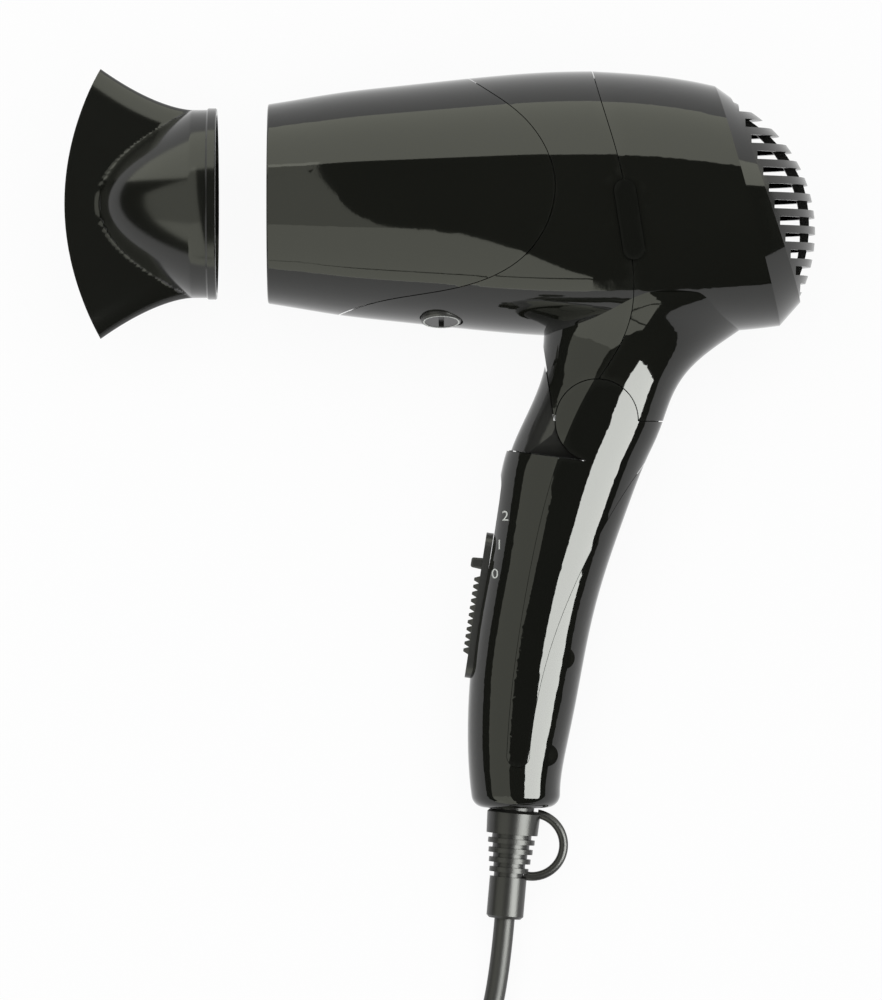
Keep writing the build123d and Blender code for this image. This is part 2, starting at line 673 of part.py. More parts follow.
with BuildPart() as slide_switch:
    with BuildSketch(track_plane.offset(RUN_GAP / 2 - TRACK_DEPTH)):
        with Locations((SLIDER_LENGTH / 2, 0)):
            SlotOverall(SLIDER_LENGTH, SLIDER_WIDTH)
    extrude(amount=TRACK_DEPTH - RUN_GAP / 2 + SLIDER_PROUD)
    # Pointer nub that the thumb pushes.
    with BuildSketch(track_plane.offset(SLIDER_PROUD)):
        with Locations((NUB_BELOW_TOP, 0)):
            RectangleRounded(NUB_LENGTH, SLIDER_WIDTH - 1.0, 0.8)
    extrude(amount=NUB_PROUD - SLIDER_PROUD, taper=4.0)
    fillet(slide_switch.faces().sort_by(Axis((0, 0, 0), slide_out))[-1].edges(), 0.7)
    # Staggered rows of blunt pyramids.
    with BuildSketch(track_plane.offset(SLIDER_PROUD)):
        for column, shift in ((-2.7, 0.0), (0.0, KNURL_PITCH / 2), (2.7, 0.0)):
            for row in range(KNURL_ROWS - (shift > 0)):
                with Locations((KNURL_FROM_TOP + KNURL_PITCH * row + shift, column)):
                    Rectangle(KNURL_SIZE, KNURL_SIZE)
    extrude(amount=KNURL_PROUD - SLIDER_PROUD, taper=24.0)
    # Stem that moves the contacts of the switch block.
    with BuildSketch(track_plane):
        with Locations((SLIDER_LENGTH / 2, 0)):
            Rectangle(*SWITCH_STEM)
    extrude(amount=-(WALL + SWITCH_DEEPER + 2.0))

# ------------------------------------------------------------------ handle fittings
CLAMP_CENTRE = RELIEF_TOP - relief_axis * CLAMP_ABOVE_END
with BuildPart() as cord_clamp:
    with BuildSketch(Plane(origin=CLAMP_CENTRE, x_dir=(0, 0, 1), z_dir=relief_axis)):
        RectangleRounded(2 * (HANDLE_HALF_Z - WALL) - 1.2, CLAMP_SIZE[0], 2.0)
        for z in (-LEAD_OFFSET, LEAD_OFFSET):
            with Locations((z, 0)):
                Circle(LEAD_R, mode=Mode.SUBTRACT)
    extrude(amount=CLAMP_SIZE[1])


def handle_screw(place):
    """A countersunk screw through the far half into the near one."""
    x, y, half_z = place
    with BuildPart() as screw:
        with BuildSketch(Plane.XY.offset(-half_z + SCREW_SUNK)):
            with Locations((x, y)):
                Circle(SCREW_HEAD_R)
        extrude(amount=SCREW_HEAD)
        with BuildSketch(Plane.XY.offset(-half_z + SCREW_SUNK)):
            with Locations((x, y)):
                Circle(SCREW_R)
        extrude(amount=SCREW_LENGTH)
        with BuildSketch(Plane.XY.offset(-half_z + SCREW_SUNK)):
            with Locations((x, y)):
                Rectangle(2.6, 0.7)
                Rectangle(0.7, 2.6)
        extrude(amount=0.8, mode=Mode.SUBTRACT)
    return screw


def switch_lead(side):
    """One insulated lead from the clamp up to the switch block."""
    start = CLAMP_CENTRE + Vector(0, 0, side * LEAD_OFFSET)
    foot = track_plane.from_local_coords(Vector(LEAD_FOOT, 0, -(WALL + SWITCH_DEEPER + SWITCH_BODY[2] / 2)))
    end = foot + Vector(0, 0, side * LEAD_OFFSET)
    knee = Vector(end.X, end.Y - 12.0, end.Z)
    with BuildPart() as lead:
        with BuildLine():
            FilletPolyline(start, start - relief_axis * 8.0, knee, end, radius=[12.0, 16.0])
        with BuildSketch(Plane(origin=start, z_dir=-relief_axis)):
            Circle(LEAD_R - 0.05)
        sweep()
    return lead


with BuildPart() as strain_relief:
    with BuildSketch(Plane(origin=RELIEF_TOP, x_dir=relief_axis, z_dir=(0, 0, 1))):
        with BuildLine():
            Polyline(
                (-RELIEF_PLUG, 0), (-RELIEF_PLUG, RELIEF_PLUG_R), (COLLAR_START, RELIEF_PLUG_R),
                (COLLAR_START, COLLAR_R - 0.8), (COLLAR_START + 0.8, COLLAR_R),
                (RELIEF_COLLAR, COLLAR_R - 0.3), (RELIEF_COLLAR, RIB_TOP_R),
            )
            rib = RELIEF_RIBS / (2 * GROOVE_COUNT + 1)
            here = Vector(RELIEF_COLLAR, RIB_TOP_R)
            for step in range(2 * GROOVE_COUNT + 1):
                x = RELIEF_COLLAR + rib * (step + 1)
                full = RIB_TOP_R + (RIB_END_R - RIB_TOP_R) * (step + 1) / (2 * GROOVE_COUNT + 1)
                r = full - (GROOVE_DEPTH if step % 2 == 0 else 0)
                Polyline(here, (here.X, r), (x, r))
                here = Vector(x, r)
            Polyline(here, (here.X, RELIEF_SLEEVE_R), (RELIEF_LENGTH - 0.8, RELIEF_SLEEVE_R),
                     (RELIEF_LENGTH, RELIEF_SLEEVE_R - 0.8), (RELIEF_LENGTH, 0), (-RELIEF_PLUG, 0))
        make_face()
    revolve(axis=Axis(RELIEF_TOP, relief_axis))
    # The loop for hanging the dryer up is moulded on.
    with BuildLine():
        loop = ThreePointArc(LOOP_CENTRE + Vector(2.3, LOOP_R - 1.5), LOOP_CENTRE + Vector(LOOP_R, 0),
                             LOOP_CENTRE + Vector(-2.0, -LOOP_R + 0.2))
    with BuildSketch(Plane(origin=loop @ 0, z_dir=loop % 0)):
        Circle(LOOP_BAR_R)
    sweep()

# ------------------------------------------------------------------ outlet grille and heater
outlet_x = MOUTH_DEPTH + FIT_GAP
sleeve_front = outlet_x + OUTLET_THICK + FIT_GAP
with BuildPart() as outlet_grille:
    with BuildSketch(Plane.YZ.offset(outlet_x)):
        Circle(OUTLET_R)
        Circle(OUTLET_R - 4.0, mode=Mode.SUBTRACT)
        for radius in OUTLET_RINGS:
            Circle(radius + OUTLET_BAR / 2)
            Circle(radius - OUTLET_BAR / 2, mode=Mode.SUBTRACT)
        with PolarLocations((OUTLET_R - 3.0 + OUTLET_RINGS[0]) / 2, SPOKE_COUNT):
            Rectangle(OUTLET_R - 3.0 - OUTLET_RINGS[0], OUTLET_BAR)
    extrude(amount=OUTLET_THICK)
    # Rim that holds the mica sleeve.
    with BuildSketch(Plane.YZ.offset(outlet_x + OUTLET_THICK)):
        Circle(SLEEVE_R + FIT_GAP + 1.2)
        Circle(SLEEVE_R + FIT_GAP, mode=Mode.SUBTRACT)
    extrude(amount=4.0)

with BuildPart() as mica_sleeve:
    with BuildSketch(Plane.YZ.offset(sleeve_front)):
        Circle(SLEEVE_R)
        Circle(SLEEVE_R - SLEEVE_WALL, mode=Mode.SUBTRACT)
    extrude(amount=SLEEVE_LENGTH)

board_front = sleeve_front + 1.0
board_half = SLEEVE_R - SLEEVE_WALL - FIT_GAP
wire_r = board_half - NOTCH_DEPTH + 1.6 * WIRE_R + 0.3
wire_front = board_front + 3.0


def heater_board(turn):
    """One of two crossed mica boards, slotted half way along, with notches that hold the wire."""
    plane = Plane.XY.rotated((90 * turn, 0, 0))
    slot_x = board_front + BOARD_LENGTH * (0.75 if turn == 0 else 0.25)
    with BuildPart() as board:
        with BuildSketch(plane.offset(-BOARD_THICK / 2)):
            with Locations((board_front + BOARD_LENGTH / 2, 0)):
                Rectangle(BOARD_LENGTH, 2 * board_half)
            with Locations((slot_x, 0)):
                Rectangle(BOARD_LENGTH / 2 + 0.4, BOARD_THICK + 0.2, mode=Mode.SUBTRACT)
            for edge in (0, 1):
                first = wire_front + HEATER_PITCH * (turn + 2 * edge) / 4
                for row in range(HEATER_TURNS):
                    with Locations((first + HEATER_PITCH * row, (1 - 2 * edge) * board_half)):
                        Rectangle(1.8, 2 * NOTCH_DEPTH, mode=Mode.SUBTRACT)
        extrude(amount=BOARD_THICK)
    return board


with BuildPart() as heating_wire:
    with BuildLine():
        corners = [
            (wire_front + HEATER_PITCH * k / 4, wire_r * cos(pi / 2 * k), wire_r * sin(pi / 2 * k))
            for k in range(4 * HEATER_TURNS)
        ]
        wire = Polyline(*corners)
    with BuildSketch(Plane(origin=wire @ 0, z_dir=wire % 0)):
        RegularPolygon(WIRE_R, 6)
    sweep(transition=Transition.RIGHT)

with BuildPart() as thermostat:
    with BuildSketch(Plane.XY.offset(BOARD_THICK / 2)):
        with Locations((board_front + BOARD_LENGTH - 9.0, 12.0)):
            RectangleRounded(THERMOSTAT[0], THERMOSTAT[1], 1.0)
    extrude(amount=THERMOSTAT[2])

with BuildPart() as thermal_fuse:
    with BuildSketch(Plane.YZ.offset(board_front + BOARD_LENGTH - 6.0 - FUSE_LENGTH)):
        with Locations((-12.0, BOARD_THICK / 2 + FUSE_R + 0.05)):
            Circle(FUSE_R)
    extrude(amount=FUSE_LENGTH)

# ------------------------------------------------------------------ motor, duct and fan
motor_back = MOTOR_FRONT + MOTOR_LENGTH
cup_back = motor_back + FIT_GAP + CUP_WALL
socket_front = sleeve_front + SLEEVE_LENGTH - DUCT_SOCKET
socket_r = SLEEVE_R + FIT_GAP
with BuildPart() as motor_duct:
    with BuildSketch(Plane.XY):
        with BuildLine():
            socket_back = socket_front + DUCT_SOCKET + FIT_GAP
            cone_back = socket_back + DUCT_CONE
            Polyline(
                (socket_front, socket_r), (socket_back, socket_r), (cone_back, DUCT_R - DUCT_WALL),
                (DUCT_BACK, DUCT_R - DUCT_WALL), (DUCT_BACK, DUCT_R), (FLANGE_X + FLANGE_THICK, DUCT_R),
                (FLANGE_X + FLANGE_THICK, FLANGE_R), (FLANGE_X, FLANGE_R), (FLANGE_X, DUCT_R),
                (cone_back, DUCT_R), (socket_back, socket_r + DUCT_WALL), (socket_front, socket_r + DUCT_WALL),
                close=True,
            )
        make_face()
        # Cup that holds the motor.
        with BuildLine():
            cup_r = MOTOR_R + FIT_GAP
            Polyline(
                (cup_back - CUP_DEPTH, cup_r), (cup_back - CUP_WALL, cup_r), (cup_back - CUP_WALL, 3.0),
                (cup_back, 3.0), (cup_back, cup_r + CUP_WALL), (cup_back - CUP_DEPTH, cup_r + CUP_WALL),
                close=True,
            )
        make_face()
    revolve(axis=Axis.X)
    # Guide vanes between the cup and the duct.
    vane_inner = cup_r + CUP_WALL / 2
    vane_outer = DUCT_R - DUCT_WALL / 2
    with BuildSketch(Plane.YZ.offset(cup_back - CUP_DEPTH + 1.0)):
        with PolarLocations((vane_inner + vane_outer) / 2, VANE_COUNT, start_angle=90):
            Rectangle(vane_outer - vane_inner, VANE_THICK)
    extrude(amount=CUP_DEPTH - 3.0)

with BuildPart() as motor:
    with BuildSketch(Plane.YZ.offset(MOTOR_FRONT)):
        Circle(MOTOR_R)
    extrude(amount=MOTOR_LENGTH)
    fillet(motor.edges().filter_by(GeomType.CIRCLE), 1.2)
    with BuildSketch(Plane.YZ.offset(motor_back)):
        Circle(SHAFT_R + PIN_CLEARANCE)
    extrude(amount=-(SHAFT_DEPTH + 0.2), mode=Mode.SUBTRACT)

with BuildPart() as rectifier_board:
    with BuildSketch(Plane.YZ.offset(MOTOR_FRONT - FIT_GAP)):
        Circle(RECTIFIER_R)
    extrude(amount=-RECTIFIER_THICK)
    with BuildSketch(Plane.YZ.offset(MOTOR_FRONT - FIT_GAP - RECTIFIER_THICK)):
        with GridLocations(8.0, 8.0, 2, 2):
            Circle(DIODE_R)
    extrude(amount=-DIODE_LENGTH)

fan_front = cup_back + FAN_BEHIND_CUP
with BuildPart() as fan_wheel:
    with BuildSketch(Plane.YZ.offset(fan_front)):
        Circle(FAN_HUB_R)
    extrude(amount=FAN_DEPTH)
    fillet(fan_wheel.edges().filter_by(GeomType.CIRCLE).sort_by(Axis.X)[-1], 3.0)
    with BuildSketch(Plane.YZ.offset(fan_front)):
        Circle(FAN_HUB_R - 1.4)
        Circle(3.2, mode=Mode.SUBTRACT)
    extrude(amount=FAN_DEPTH - 4.5, mode=Mode.SUBTRACT)
    with BuildSketch(Plane.YZ.offset(fan_front)):
        Circle(SHAFT_R)
    extrude(amount=FAN_DEPTH - 2.0, mode=Mode.SUBTRACT)
    for turn in range(BLADE_COUNT):
        middle = Plane(origin=(fan_front + FAN_DEPTH / 2, 0, 0), z_dir=(0, 0, 1), x_dir=(1, 0, 0))
        out = Vector(0, cos(2 * pi * turn / BLADE_COUNT), sin(2 * pi * turn / BLADE_COUNT))
        for radius, chord, pitch in (
            (FAN_HUB_R - 0.7, BLADE_CHORD - 2.5, BLADE_ROOT_PITCH),
            (FAN_TIP_R, BLADE_CHORD, BLADE_TIP_PITCH),
        ):
            with BuildSketch(Plane(origin=middle.origin + out * radius, x_dir=(1, 0, 0), z_dir=out)):
                Rectangle(chord, 1.2, rotation=pitch)
        loft(ruled=True)

with BuildPart() as motor_shaft:
    with BuildSketch(Plane.YZ.offset(motor_back - SHAFT_DEPTH)):
        Circle(SHAFT_R)
    extrude(amount=fan_front + FAN_DEPTH - 2.0 - (motor_back - SHAFT_DEPTH))

# ------------------------------------------------------------------ voltage selector
with BuildPart() as voltage_dial:
    with BuildSketch(dial_plane):
        Circle(DIAL_R)
    extrude(amount=-DIAL_THICK)
    chamfer(voltage_dial.faces().sort_by(Axis((0, 0, 0), dial_axis))[-1].edges(), 0.4)
    with BuildSketch(dial_plane):
        Rectangle(DIAL_SLOT[1], DIAL_SLOT[0])
    extrude(amount=-DIAL_SLOT[2], mode=Mode.SUBTRACT)

with BuildPart() as selector_block:
    with BuildSketch(dial_plane.offset(-DIAL_THICK - FIT_GAP)):
        Rectangle(SELECTOR_BLOCK[0], SELECTOR_BLOCK[1])
    extrude(amount=-SELECTOR_BLOCK[2])

# ------------------------------------------------------------------ nozzle
rim_x = -NOZZLE_GAP
waist_x = rim_x - COLLAR_LENGTH


def fan_outline(inset, past_lip):
    """The flat outlet's outline: flared sides and a bowed lip."""
    root = Vector(waist_x + 1.0, NOZZLE_WAIST_R - 1.0 - inset)
    tip = Vector(LIP_TIP[0] - past_lip, LIP_TIP[1] - inset + LIP_FLARE * past_lip)
    with BuildSketch(Plane.XY) as outline:
        with BuildLine():
            side = Spline(root, (-33.0, 31.6 - inset), (-41.4, 36.0 - inset), tip)
            mirror(side, about=Plane.XZ)
            ThreePointArc(tip, (LIP_NOSE_X - past_lip, 0), (tip.X, -tip.Y))
            Line(root, (root.X, -root.Y))
        make_face()
    return outline.sketch


def nozzle_cone(inset):
    """The round rear of the nozzle, narrowing to the outlet's thickness."""
    with BuildPart() as cone:
        with BuildSketch(Plane.XY):
            with BuildLine():
                rear = rim_x + (1.0 if inset else 0.0)
                Polyline(
                    (rear, 0), (rear, NOZZLE_RIM_R - inset), (rim_x - 2.0, NOZZLE_RIM_R - inset),
                    (rim_x - 3.2, NOZZLE_WAIST_R - inset), (waist_x, NOZZLE_WAIST_R - inset),
                    (CONE_APEX_X, SLOT_HALF_Z - inset), (CONE_APEX_X, 0), close=True,
                )
            make_face()
        revolve(axis=Axis.X)
    return cone.part


with BuildPart() as nozzle:
    add(nozzle_cone(0))
    with BuildSketch(Plane.XY.offset(-SLOT_HALF_Z)):
        add(fan_outline(0, 0))
    extrude(amount=2 * SLOT_HALF_Z)
    add(nozzle_cone(NOZZLE_WALL), mode=Mode.SUBTRACT)
    with BuildSketch(Plane.XY.offset(-(SLOT_HALF_Z - NOZZLE_WALL))):
        add(fan_outline(NOZZLE_WALL, 3.0))
    extrude(amount=2 * (SLOT_HALF_Z - NOZZLE_WALL), mode=Mode.SUBTRACT)

# ------------------------------------------------------------------ cord, coil and plug
# These lie on the surface, so they are drawn in the resting pose itself.
cord_z = FLOOR_Z + CORD_R + CORD_LIFT
cord_start = laid_down(RELIEF_TOP + relief_axis * RELIEF_LENGTH)
cord_heading = laid_down(relief_axis)
coil_inner_r = COIL_OUTER_R - COIL_TURNS * COIL_PITCH - COIL_STEP_IN
coil_centre = Vector(COIL_LEFT + COIL_OUTER_R, COIL_Y, cord_z)


def fillet_radii(points):
    """An arc at each corner that takes nine tenths of the shorter run's half."""
    radii = []
    for before, corner, after in zip(points, points[1:], points[2:]):
        turn = (corner - before).get_angle(after - corner)
        shorter = min((corner - before).length, (after - corner).length)
        radii.append(0.45 * shorter / tan(radians(turn / 2)))
    return radii


def tube(points, name):
    """A cord's free stretch: straight runs joined by tangent arcs."""
    radii = fillet_radii(points)
    with BuildPart() as body:
        with BuildLine():
            path = FilletPolyline(*points, radius=radii)
        with BuildSketch(Plane(origin=path @ 0, z_dir=path % 0)):
            Circle(CORD_R)
        sweep()
    length = path.length
    print(f"{name}: length {length:.1f}, volume / (section x length) "
          f"{body.part.volume / (pi * CORD_R**2 * length):.4f}, radii {[round(r, 1) for r in radii]}")
    return body


lead_points = [cord_start, cord_start + cord_heading * 14.0] + [
    Vector(x, y, cord_z + lift) for x, y, lift in LEAD_ROUTE
] + [coil_centre + Vector(-COIL_OUTER_R, COIL_LEAD_IN, 0), coil_centre + Vector(-COIL_OUTER_R, 0, 0)]
cord_lead = tube(lead_points, "cord_lead")

# Half turns meet on the coil's X axis: crossings alternate left and right and step inward, then outward.
lower = [-(COIL_OUTER_R - COIL_PITCH * k / 2) * (-1) ** k for k in range(2 * COIL_TURNS)] + [-coil_inner_r]
upper_first = coil_inner_r + COIL_STEP_IN + COIL_PITCH / 2
upper = [coil_inner_r]
upper += [(upper_first + COIL_PITCH * k / 2) * (-1) ** (k + 1) for k in range(2 * COIL_TURNS - 1)]

with BuildPart() as cord_coil:
    with BuildLine() as coil_path:
        for crossings, height in ((lower, 0.0), (upper, COIL_LAYER)):
            for first, last in zip(crossings, crossings[1:]):
                bow = (last - first) / 2
                middle = Vector((first + last) / 2, -bow, height)
                ThreePointArc(coil_centre + Vector(first, 0, height), coil_centre + middle,
                              coil_centre + Vector(last, 0, height))
            if height == 0:
                # The climb: two quarter turns, each a plane arc, level where they start and end.
                a = coil_inner_r
                low_point = Vector(0, -sqrt(a**2 + COIL_LAYER**2 / 4), COIL_LAYER / 2)
                climb = TangentArc(
                    coil_centre + Vector(-a, 0, 0), coil_centre + low_point, tangent=(0, -1, 0),
                )
                TangentArc(climb @ 1, coil_centre + Vector(a, 0, COIL_LAYER), tangent=climb % 1)
    with BuildSketch(Plane(origin=coil_centre + Vector(-COIL_OUTER_R, 0, 0), z_dir=(0, -1, 0))):
        Circle(CORD_R)
    sweep()

tail_start = coil_centre + Vector(upper[-1], 0, COIL_LAYER)
tail_points = [tail_start]
tail_points += [Vector(tail_start.X + x, tail_start.Y + y, cord_z + lift) for x, y, lift in TAIL_ROUTE]
cord_tail = tube(tail_points, "cord_tail")


def least_gap(path, step=2.0):
    """Least clear distance between stretches of the coil that are not neighbours along it."""
    count = int(path.length / step)
    points = [path @ (i / count) for i in range(count + 1)]
    apart = int(8 * CORD_R / step)
    least = min(
        (points[i] - points[j]).length for i in range(len(points)) for j in range(i + apart, len(points))
    )
    return least - 2 * CORD_R


coil_wire = coil_path.wires()[0]
print(f"cord_coil: length {coil_wire.length:.1f}, least gap to itself {least_gap(coil_wire):.2f}")
cord_length = sum(body.part.volume for body in (cord_lead, cord_coil, cord_tail)) / (pi * CORD_R**2)
print(f"cord: {cord_length:.0f} mm in all")

plug_back = tail_points[-1]
plug_plane = Plane(origin=plug_back, x_dir=(1, 0, 0), z_dir=(0, -1, 0))
with BuildPart() as plug_body:
    with BuildSketch(plug_plane):
        Circle(CORD_R + 1.6)
    with BuildSketch(plug_plane.offset(PLUG_NECK)):
        Circle(CORD_R + 2.2)
    loft()
    with BuildSketch(plug_plane.offset(PLUG_NECK)):
        RectangleRounded(13.0, 12.0, 4.0)
    with BuildSketch(plug_plane.offset(PLUG_NECK + 10.0)):
        RectangleRounded(PLUG_BODY[0], PLUG_BODY[2] - 1.0, 5.0)
    loft()
    with BuildSketch(plug_plane.offset(PLUG_NECK + 10.0)):
        RectangleRounded(PLUG_BODY[0], PLUG_BODY[2] - 1.0, 5.0)
    extrude(amount=PLUG_BODY[1] - 10.0)
    fillet(plug_body.faces().sort_by(Axis.Y)[0].edges(), 1.5)


def plug_blade(side):
    """A flat blade standing out of the plug's face."""
    with BuildPart() as blade:
        with BuildSketch(plug_plane.offset(PLUG_NECK + PLUG_BODY[1])):
            with Locations((side * BLADE_SPACING / 2, 0)):
                Rectangle(BLADE_SIZE[2], BLADE_SIZE[0])
        extrude(amount=BLADE_SIZE[1])
        chamfer(blade.faces().sort_by(Axis.Y)[0].edges(), 0.4)
    return blade


# ------------------------------------------------------------------ finished pieces
for name, piece in {
    "nose_cover": nose_cover,
    "front_housing": front_housing,
    "rear_housing": rear_housing,
    "seam_clip_near": seam_clip(1),
    "seam_clip_far": seam_clip(-1),
    "inlet_grille": inlet_grille,
    "outlet_grille": outlet_grille,
    "mica_sleeve": mica_sleeve,
    "heater_board_flat": heater_board(0),
    "heater_board_upright": heater_board(1),
    "heating_wire": heating_wire,
    "thermostat": thermostat,
    "thermal_fuse": thermal_fuse,
    "motor_duct": motor_duct,
    "motor": motor,
    "rectifier_board": rectifier_board,
    "fan_wheel": fan_wheel,
    "motor_shaft": motor_shaft,
    "hinge_core": hinge_core,
    "hinge_pin": hinge_pin,
    "voltage_dial": voltage_dial,
    "selector_block": selector_block,
    "nozzle": nozzle,
    "handle_near": handle_half(1),
    "handle_far": handle_half(-1),
    "handle_trim": handle_trim,
    "slide_switch": slide_switch,
    "switch_block": switch_block,
    "switch_lead_near": switch_lead(1),
    "switch_lead_far": switch_lead(-1),
    "cord_clamp": cord_clamp,
    "handle_screw_upper": handle_screw(SCREW_PLACES[0]),
    "handle_screw_lower": handle_screw(SCREW_PLACES[1]),
    "strain_relief": strain_relief,
}.items():
    write(piece, name)

for name, piece in {
    "cord_lead": cord_lead,
    "cord_coil": cord_coil,
    "cord_tail": cord_tail,
    "plug_body": plug_body,
    "plug_blade_left": plug_blade(-1),
    "plug_blade_right": plug_blade(1),
}.items():
    piece.part.label = name
    export_step(piece.part, f"parts/{name}.step")
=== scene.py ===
"""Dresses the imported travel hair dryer: finishes, mains cord, domed nozzle, switch numerals and studio."""
import math

import bmesh
import bpy
from bpy.props import FloatProperty, FloatVectorProperty, PointerProperty
from mathutils import Matrix, Vector
from mathutils.bvhtree import BVHTree


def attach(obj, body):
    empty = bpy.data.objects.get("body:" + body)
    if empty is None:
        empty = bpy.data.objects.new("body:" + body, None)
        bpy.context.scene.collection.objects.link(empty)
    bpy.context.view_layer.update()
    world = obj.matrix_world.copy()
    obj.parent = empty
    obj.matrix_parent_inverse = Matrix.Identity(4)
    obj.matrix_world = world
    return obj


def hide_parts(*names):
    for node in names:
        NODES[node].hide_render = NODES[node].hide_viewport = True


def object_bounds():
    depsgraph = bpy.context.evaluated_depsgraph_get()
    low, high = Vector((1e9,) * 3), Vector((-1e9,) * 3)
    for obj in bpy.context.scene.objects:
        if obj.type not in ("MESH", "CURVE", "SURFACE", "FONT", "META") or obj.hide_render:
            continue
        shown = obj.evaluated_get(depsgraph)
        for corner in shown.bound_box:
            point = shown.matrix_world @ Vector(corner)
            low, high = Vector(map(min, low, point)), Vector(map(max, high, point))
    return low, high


bl_info = {
    "name": "Travel hair dryer",
    "version": (1, 0, 0),
    "blender": (4, 5, 0),
    "location": "3D View > Sidebar > Hair dryer",
    "description": "Finishes, cord and studio of a folding travel hair dryer",
    "category": "Object",
}

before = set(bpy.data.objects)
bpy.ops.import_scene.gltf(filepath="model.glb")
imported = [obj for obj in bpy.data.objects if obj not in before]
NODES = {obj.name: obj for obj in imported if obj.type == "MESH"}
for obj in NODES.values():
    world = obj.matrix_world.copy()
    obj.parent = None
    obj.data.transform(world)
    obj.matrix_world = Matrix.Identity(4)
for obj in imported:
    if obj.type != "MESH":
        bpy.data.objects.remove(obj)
CAD_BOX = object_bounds()
FLOOR_Z = CAD_BOX[0].z

# The dryer lies on its side, turned this much about X from its own plane.
REST_TILT = math.radians(8.36077)
PLANE_UP = Vector((0.0, math.cos(REST_TILT), math.sin(REST_TILT)))
PLANE_NORMAL = Vector((0.0, -math.sin(REST_TILT), math.cos(REST_TILT)))
PLANE_ACROSS = Vector((1.0, 0.0, 0.0))

CORD_RADIUS = 0.00305
CORD_Z = FLOOR_Z + CORD_RADIUS + 0.0001
CORD_EXIT = Vector((0.070989, -0.211996, -0.031156))
COIL_OUTER = 0.0473
COIL_PITCH = 0.0066
COIL_LAYER = 0.0066
COIL_TURNS = 4
COIL_SLACK = 0.0012
COIL_INNER = COIL_OUTER - COIL_TURNS * COIL_PITCH - COIL_SLACK
COIL_CENTRE = Vector((0.1063, -0.300, CORD_Z))
HALF_TURN_POINTS = 8

# Nozzle, in the dryer's plane: collar, domed fan and its slot.
RIM_X = -0.0153
RIM_R = 0.0287
WAIST_X = -0.0226
NOZZLE_R = 0.0282
NOZZLE_WALL = 0.0015
DOME_LENGTH = 0.0286
FAN_HALF = 0.0052
LIP_TIP_X = -0.0502
LIP_TIP_UP = 0.0405
LIP_NOSE_X = -0.0609
RIM_LENGTH = 0.0025
RIM_BEVEL = 0.0003
RIM_STEP = 0.0005
FLARE_POWER = 1.6  # the fan's sides flare late, near the tips
EDGE_ROLL = 0.0075  # the fan thins toward its edges over this width
ROLL_START = 1.3
ROLL_END = 0.6
DOME_BLEND = 0.0032  # rounding where the dome meets the fan
BLEND_MARGIN = 0.005  # the rounding fades out this near an edge
RING_POINTS = 288
FAN_STEPS = 44

# Open lines between the neck and the handle, in the dryer's plane, where dark strips stand in as painted shade.
SHOULDER_OUTER = (0.07210, -0.07410)
SHOULDER_INNER = (0.09493, -0.07721)
LEDGE_LOW = -0.0654
FILLER_FLOOR = 0.00002
FILLER_TOP = 0.00028
FILLER_HALF_DEPTH = 0.001

DIAL_CENTRE = Vector((0.052, -0.036872, 0.006262))
DIAL_NORMAL = Vector((0.0, -0.98588, 0.16744))


def in_plane(place):
    """A point given across, up and out of the dryer's plane."""
    return PLANE_ACROSS * place[0] + PLANE_UP * place[1] + PLANE_NORMAL * place[2]


# ---------------------------------------------------------------- settings
class ShellSettings(bpy.types.PropertyGroup):
    """Colours and gloss of the moulded shells."""
    shell_colour: FloatVectorProperty(
        name="Shell colour", description="Colour of the barrel and handle shells",
        default=(0.0080, 0.0084, 0.0064), subtype="COLOR", min=0.0, max=1.0)
    trim_colour: FloatVectorProperty(
        name="Trim colour", description="Colour of the handle trim and seam clips",
        default=(0.0070, 0.0074, 0.0058), subtype="COLOR", min=0.0, max=1.0)
    grille_colour: FloatVectorProperty(
        name="Grille colour", description="Colour of the inlet and outlet grilles",
        default=(0.012, 0.012, 0.010), subtype="COLOR", min=0.0, max=1.0)
    roughness: FloatProperty(
        name="Gloss roughness", description="Roughness of the polished shells",
        default=0.04, min=0.0, max=1.0, subtype="FACTOR")


class CordSettings(bpy.types.PropertyGroup):
    """Colour and thickness of the mains cord."""
    colour: FloatVectorProperty(
        name="Cord colour", description="Colour of the cord, strain relief and plug",
        default=(0.016, 0.016, 0.014), subtype="COLOR", min=0.0, max=1.0)
    radius: FloatProperty(
        name="Cord radius", description="Half the thickness of the cord",
        default=CORD_RADIUS, min=0.001, max=0.006, subtype="DISTANCE", unit="LENGTH")


class MarkSettings(bpy.types.PropertyGroup):
    """Printed numerals and ring."""
    colour: FloatVectorProperty(
        name="Print colour", description="Colour of the numerals and the dial ring",
        default=(0.62, 0.64, 0.60), subtype="COLOR", min=0.0, max=1.0)
    height: FloatProperty(
        name="Numeral height", description="Height of the switch numerals",
        default=0.0029, min=0.001, max=0.01, subtype="DISTANCE", unit="LENGTH")


class StudioSettings(bpy.types.PropertyGroup):
    """Light levels of the studio."""
    overhead_level: FloatProperty(
        name="Overhead level", description="Brightness of the overhead softbox and of the mirrored walls",
        default=1.0, min=0.0, max=20.0)
    strip_level: FloatProperty(
        name="Right box level", description="Brightness of the strong box to the right of the handle",
        default=14.0, min=0.0, max=60.0)
    floor_colour: FloatVectorProperty(
        name="Floor colour", description="Colour of the floor",
        default=(0.86, 0.86, 0.86), subtype="COLOR", min=0.0, max=1.0)


# ---------------------------------------------------------------- node groups
def new_group(name, inputs, outputs):
    """A shader node group with named sockets, its input node and its output node."""
    group = bpy.data.node_groups.new(name, "ShaderNodeTree")
    for label, kind, default in inputs:
        socket = group.interface.new_socket(name=label, in_out="INPUT", socket_type=kind)
        socket.default_value = default
    for label, kind in outputs:
        group.interface.new_socket(name=label, in_out="OUTPUT", socket_type=kind)
    return group, group.nodes.new("NodeGroupInput"), group.nodes.new("NodeGroupOutput")


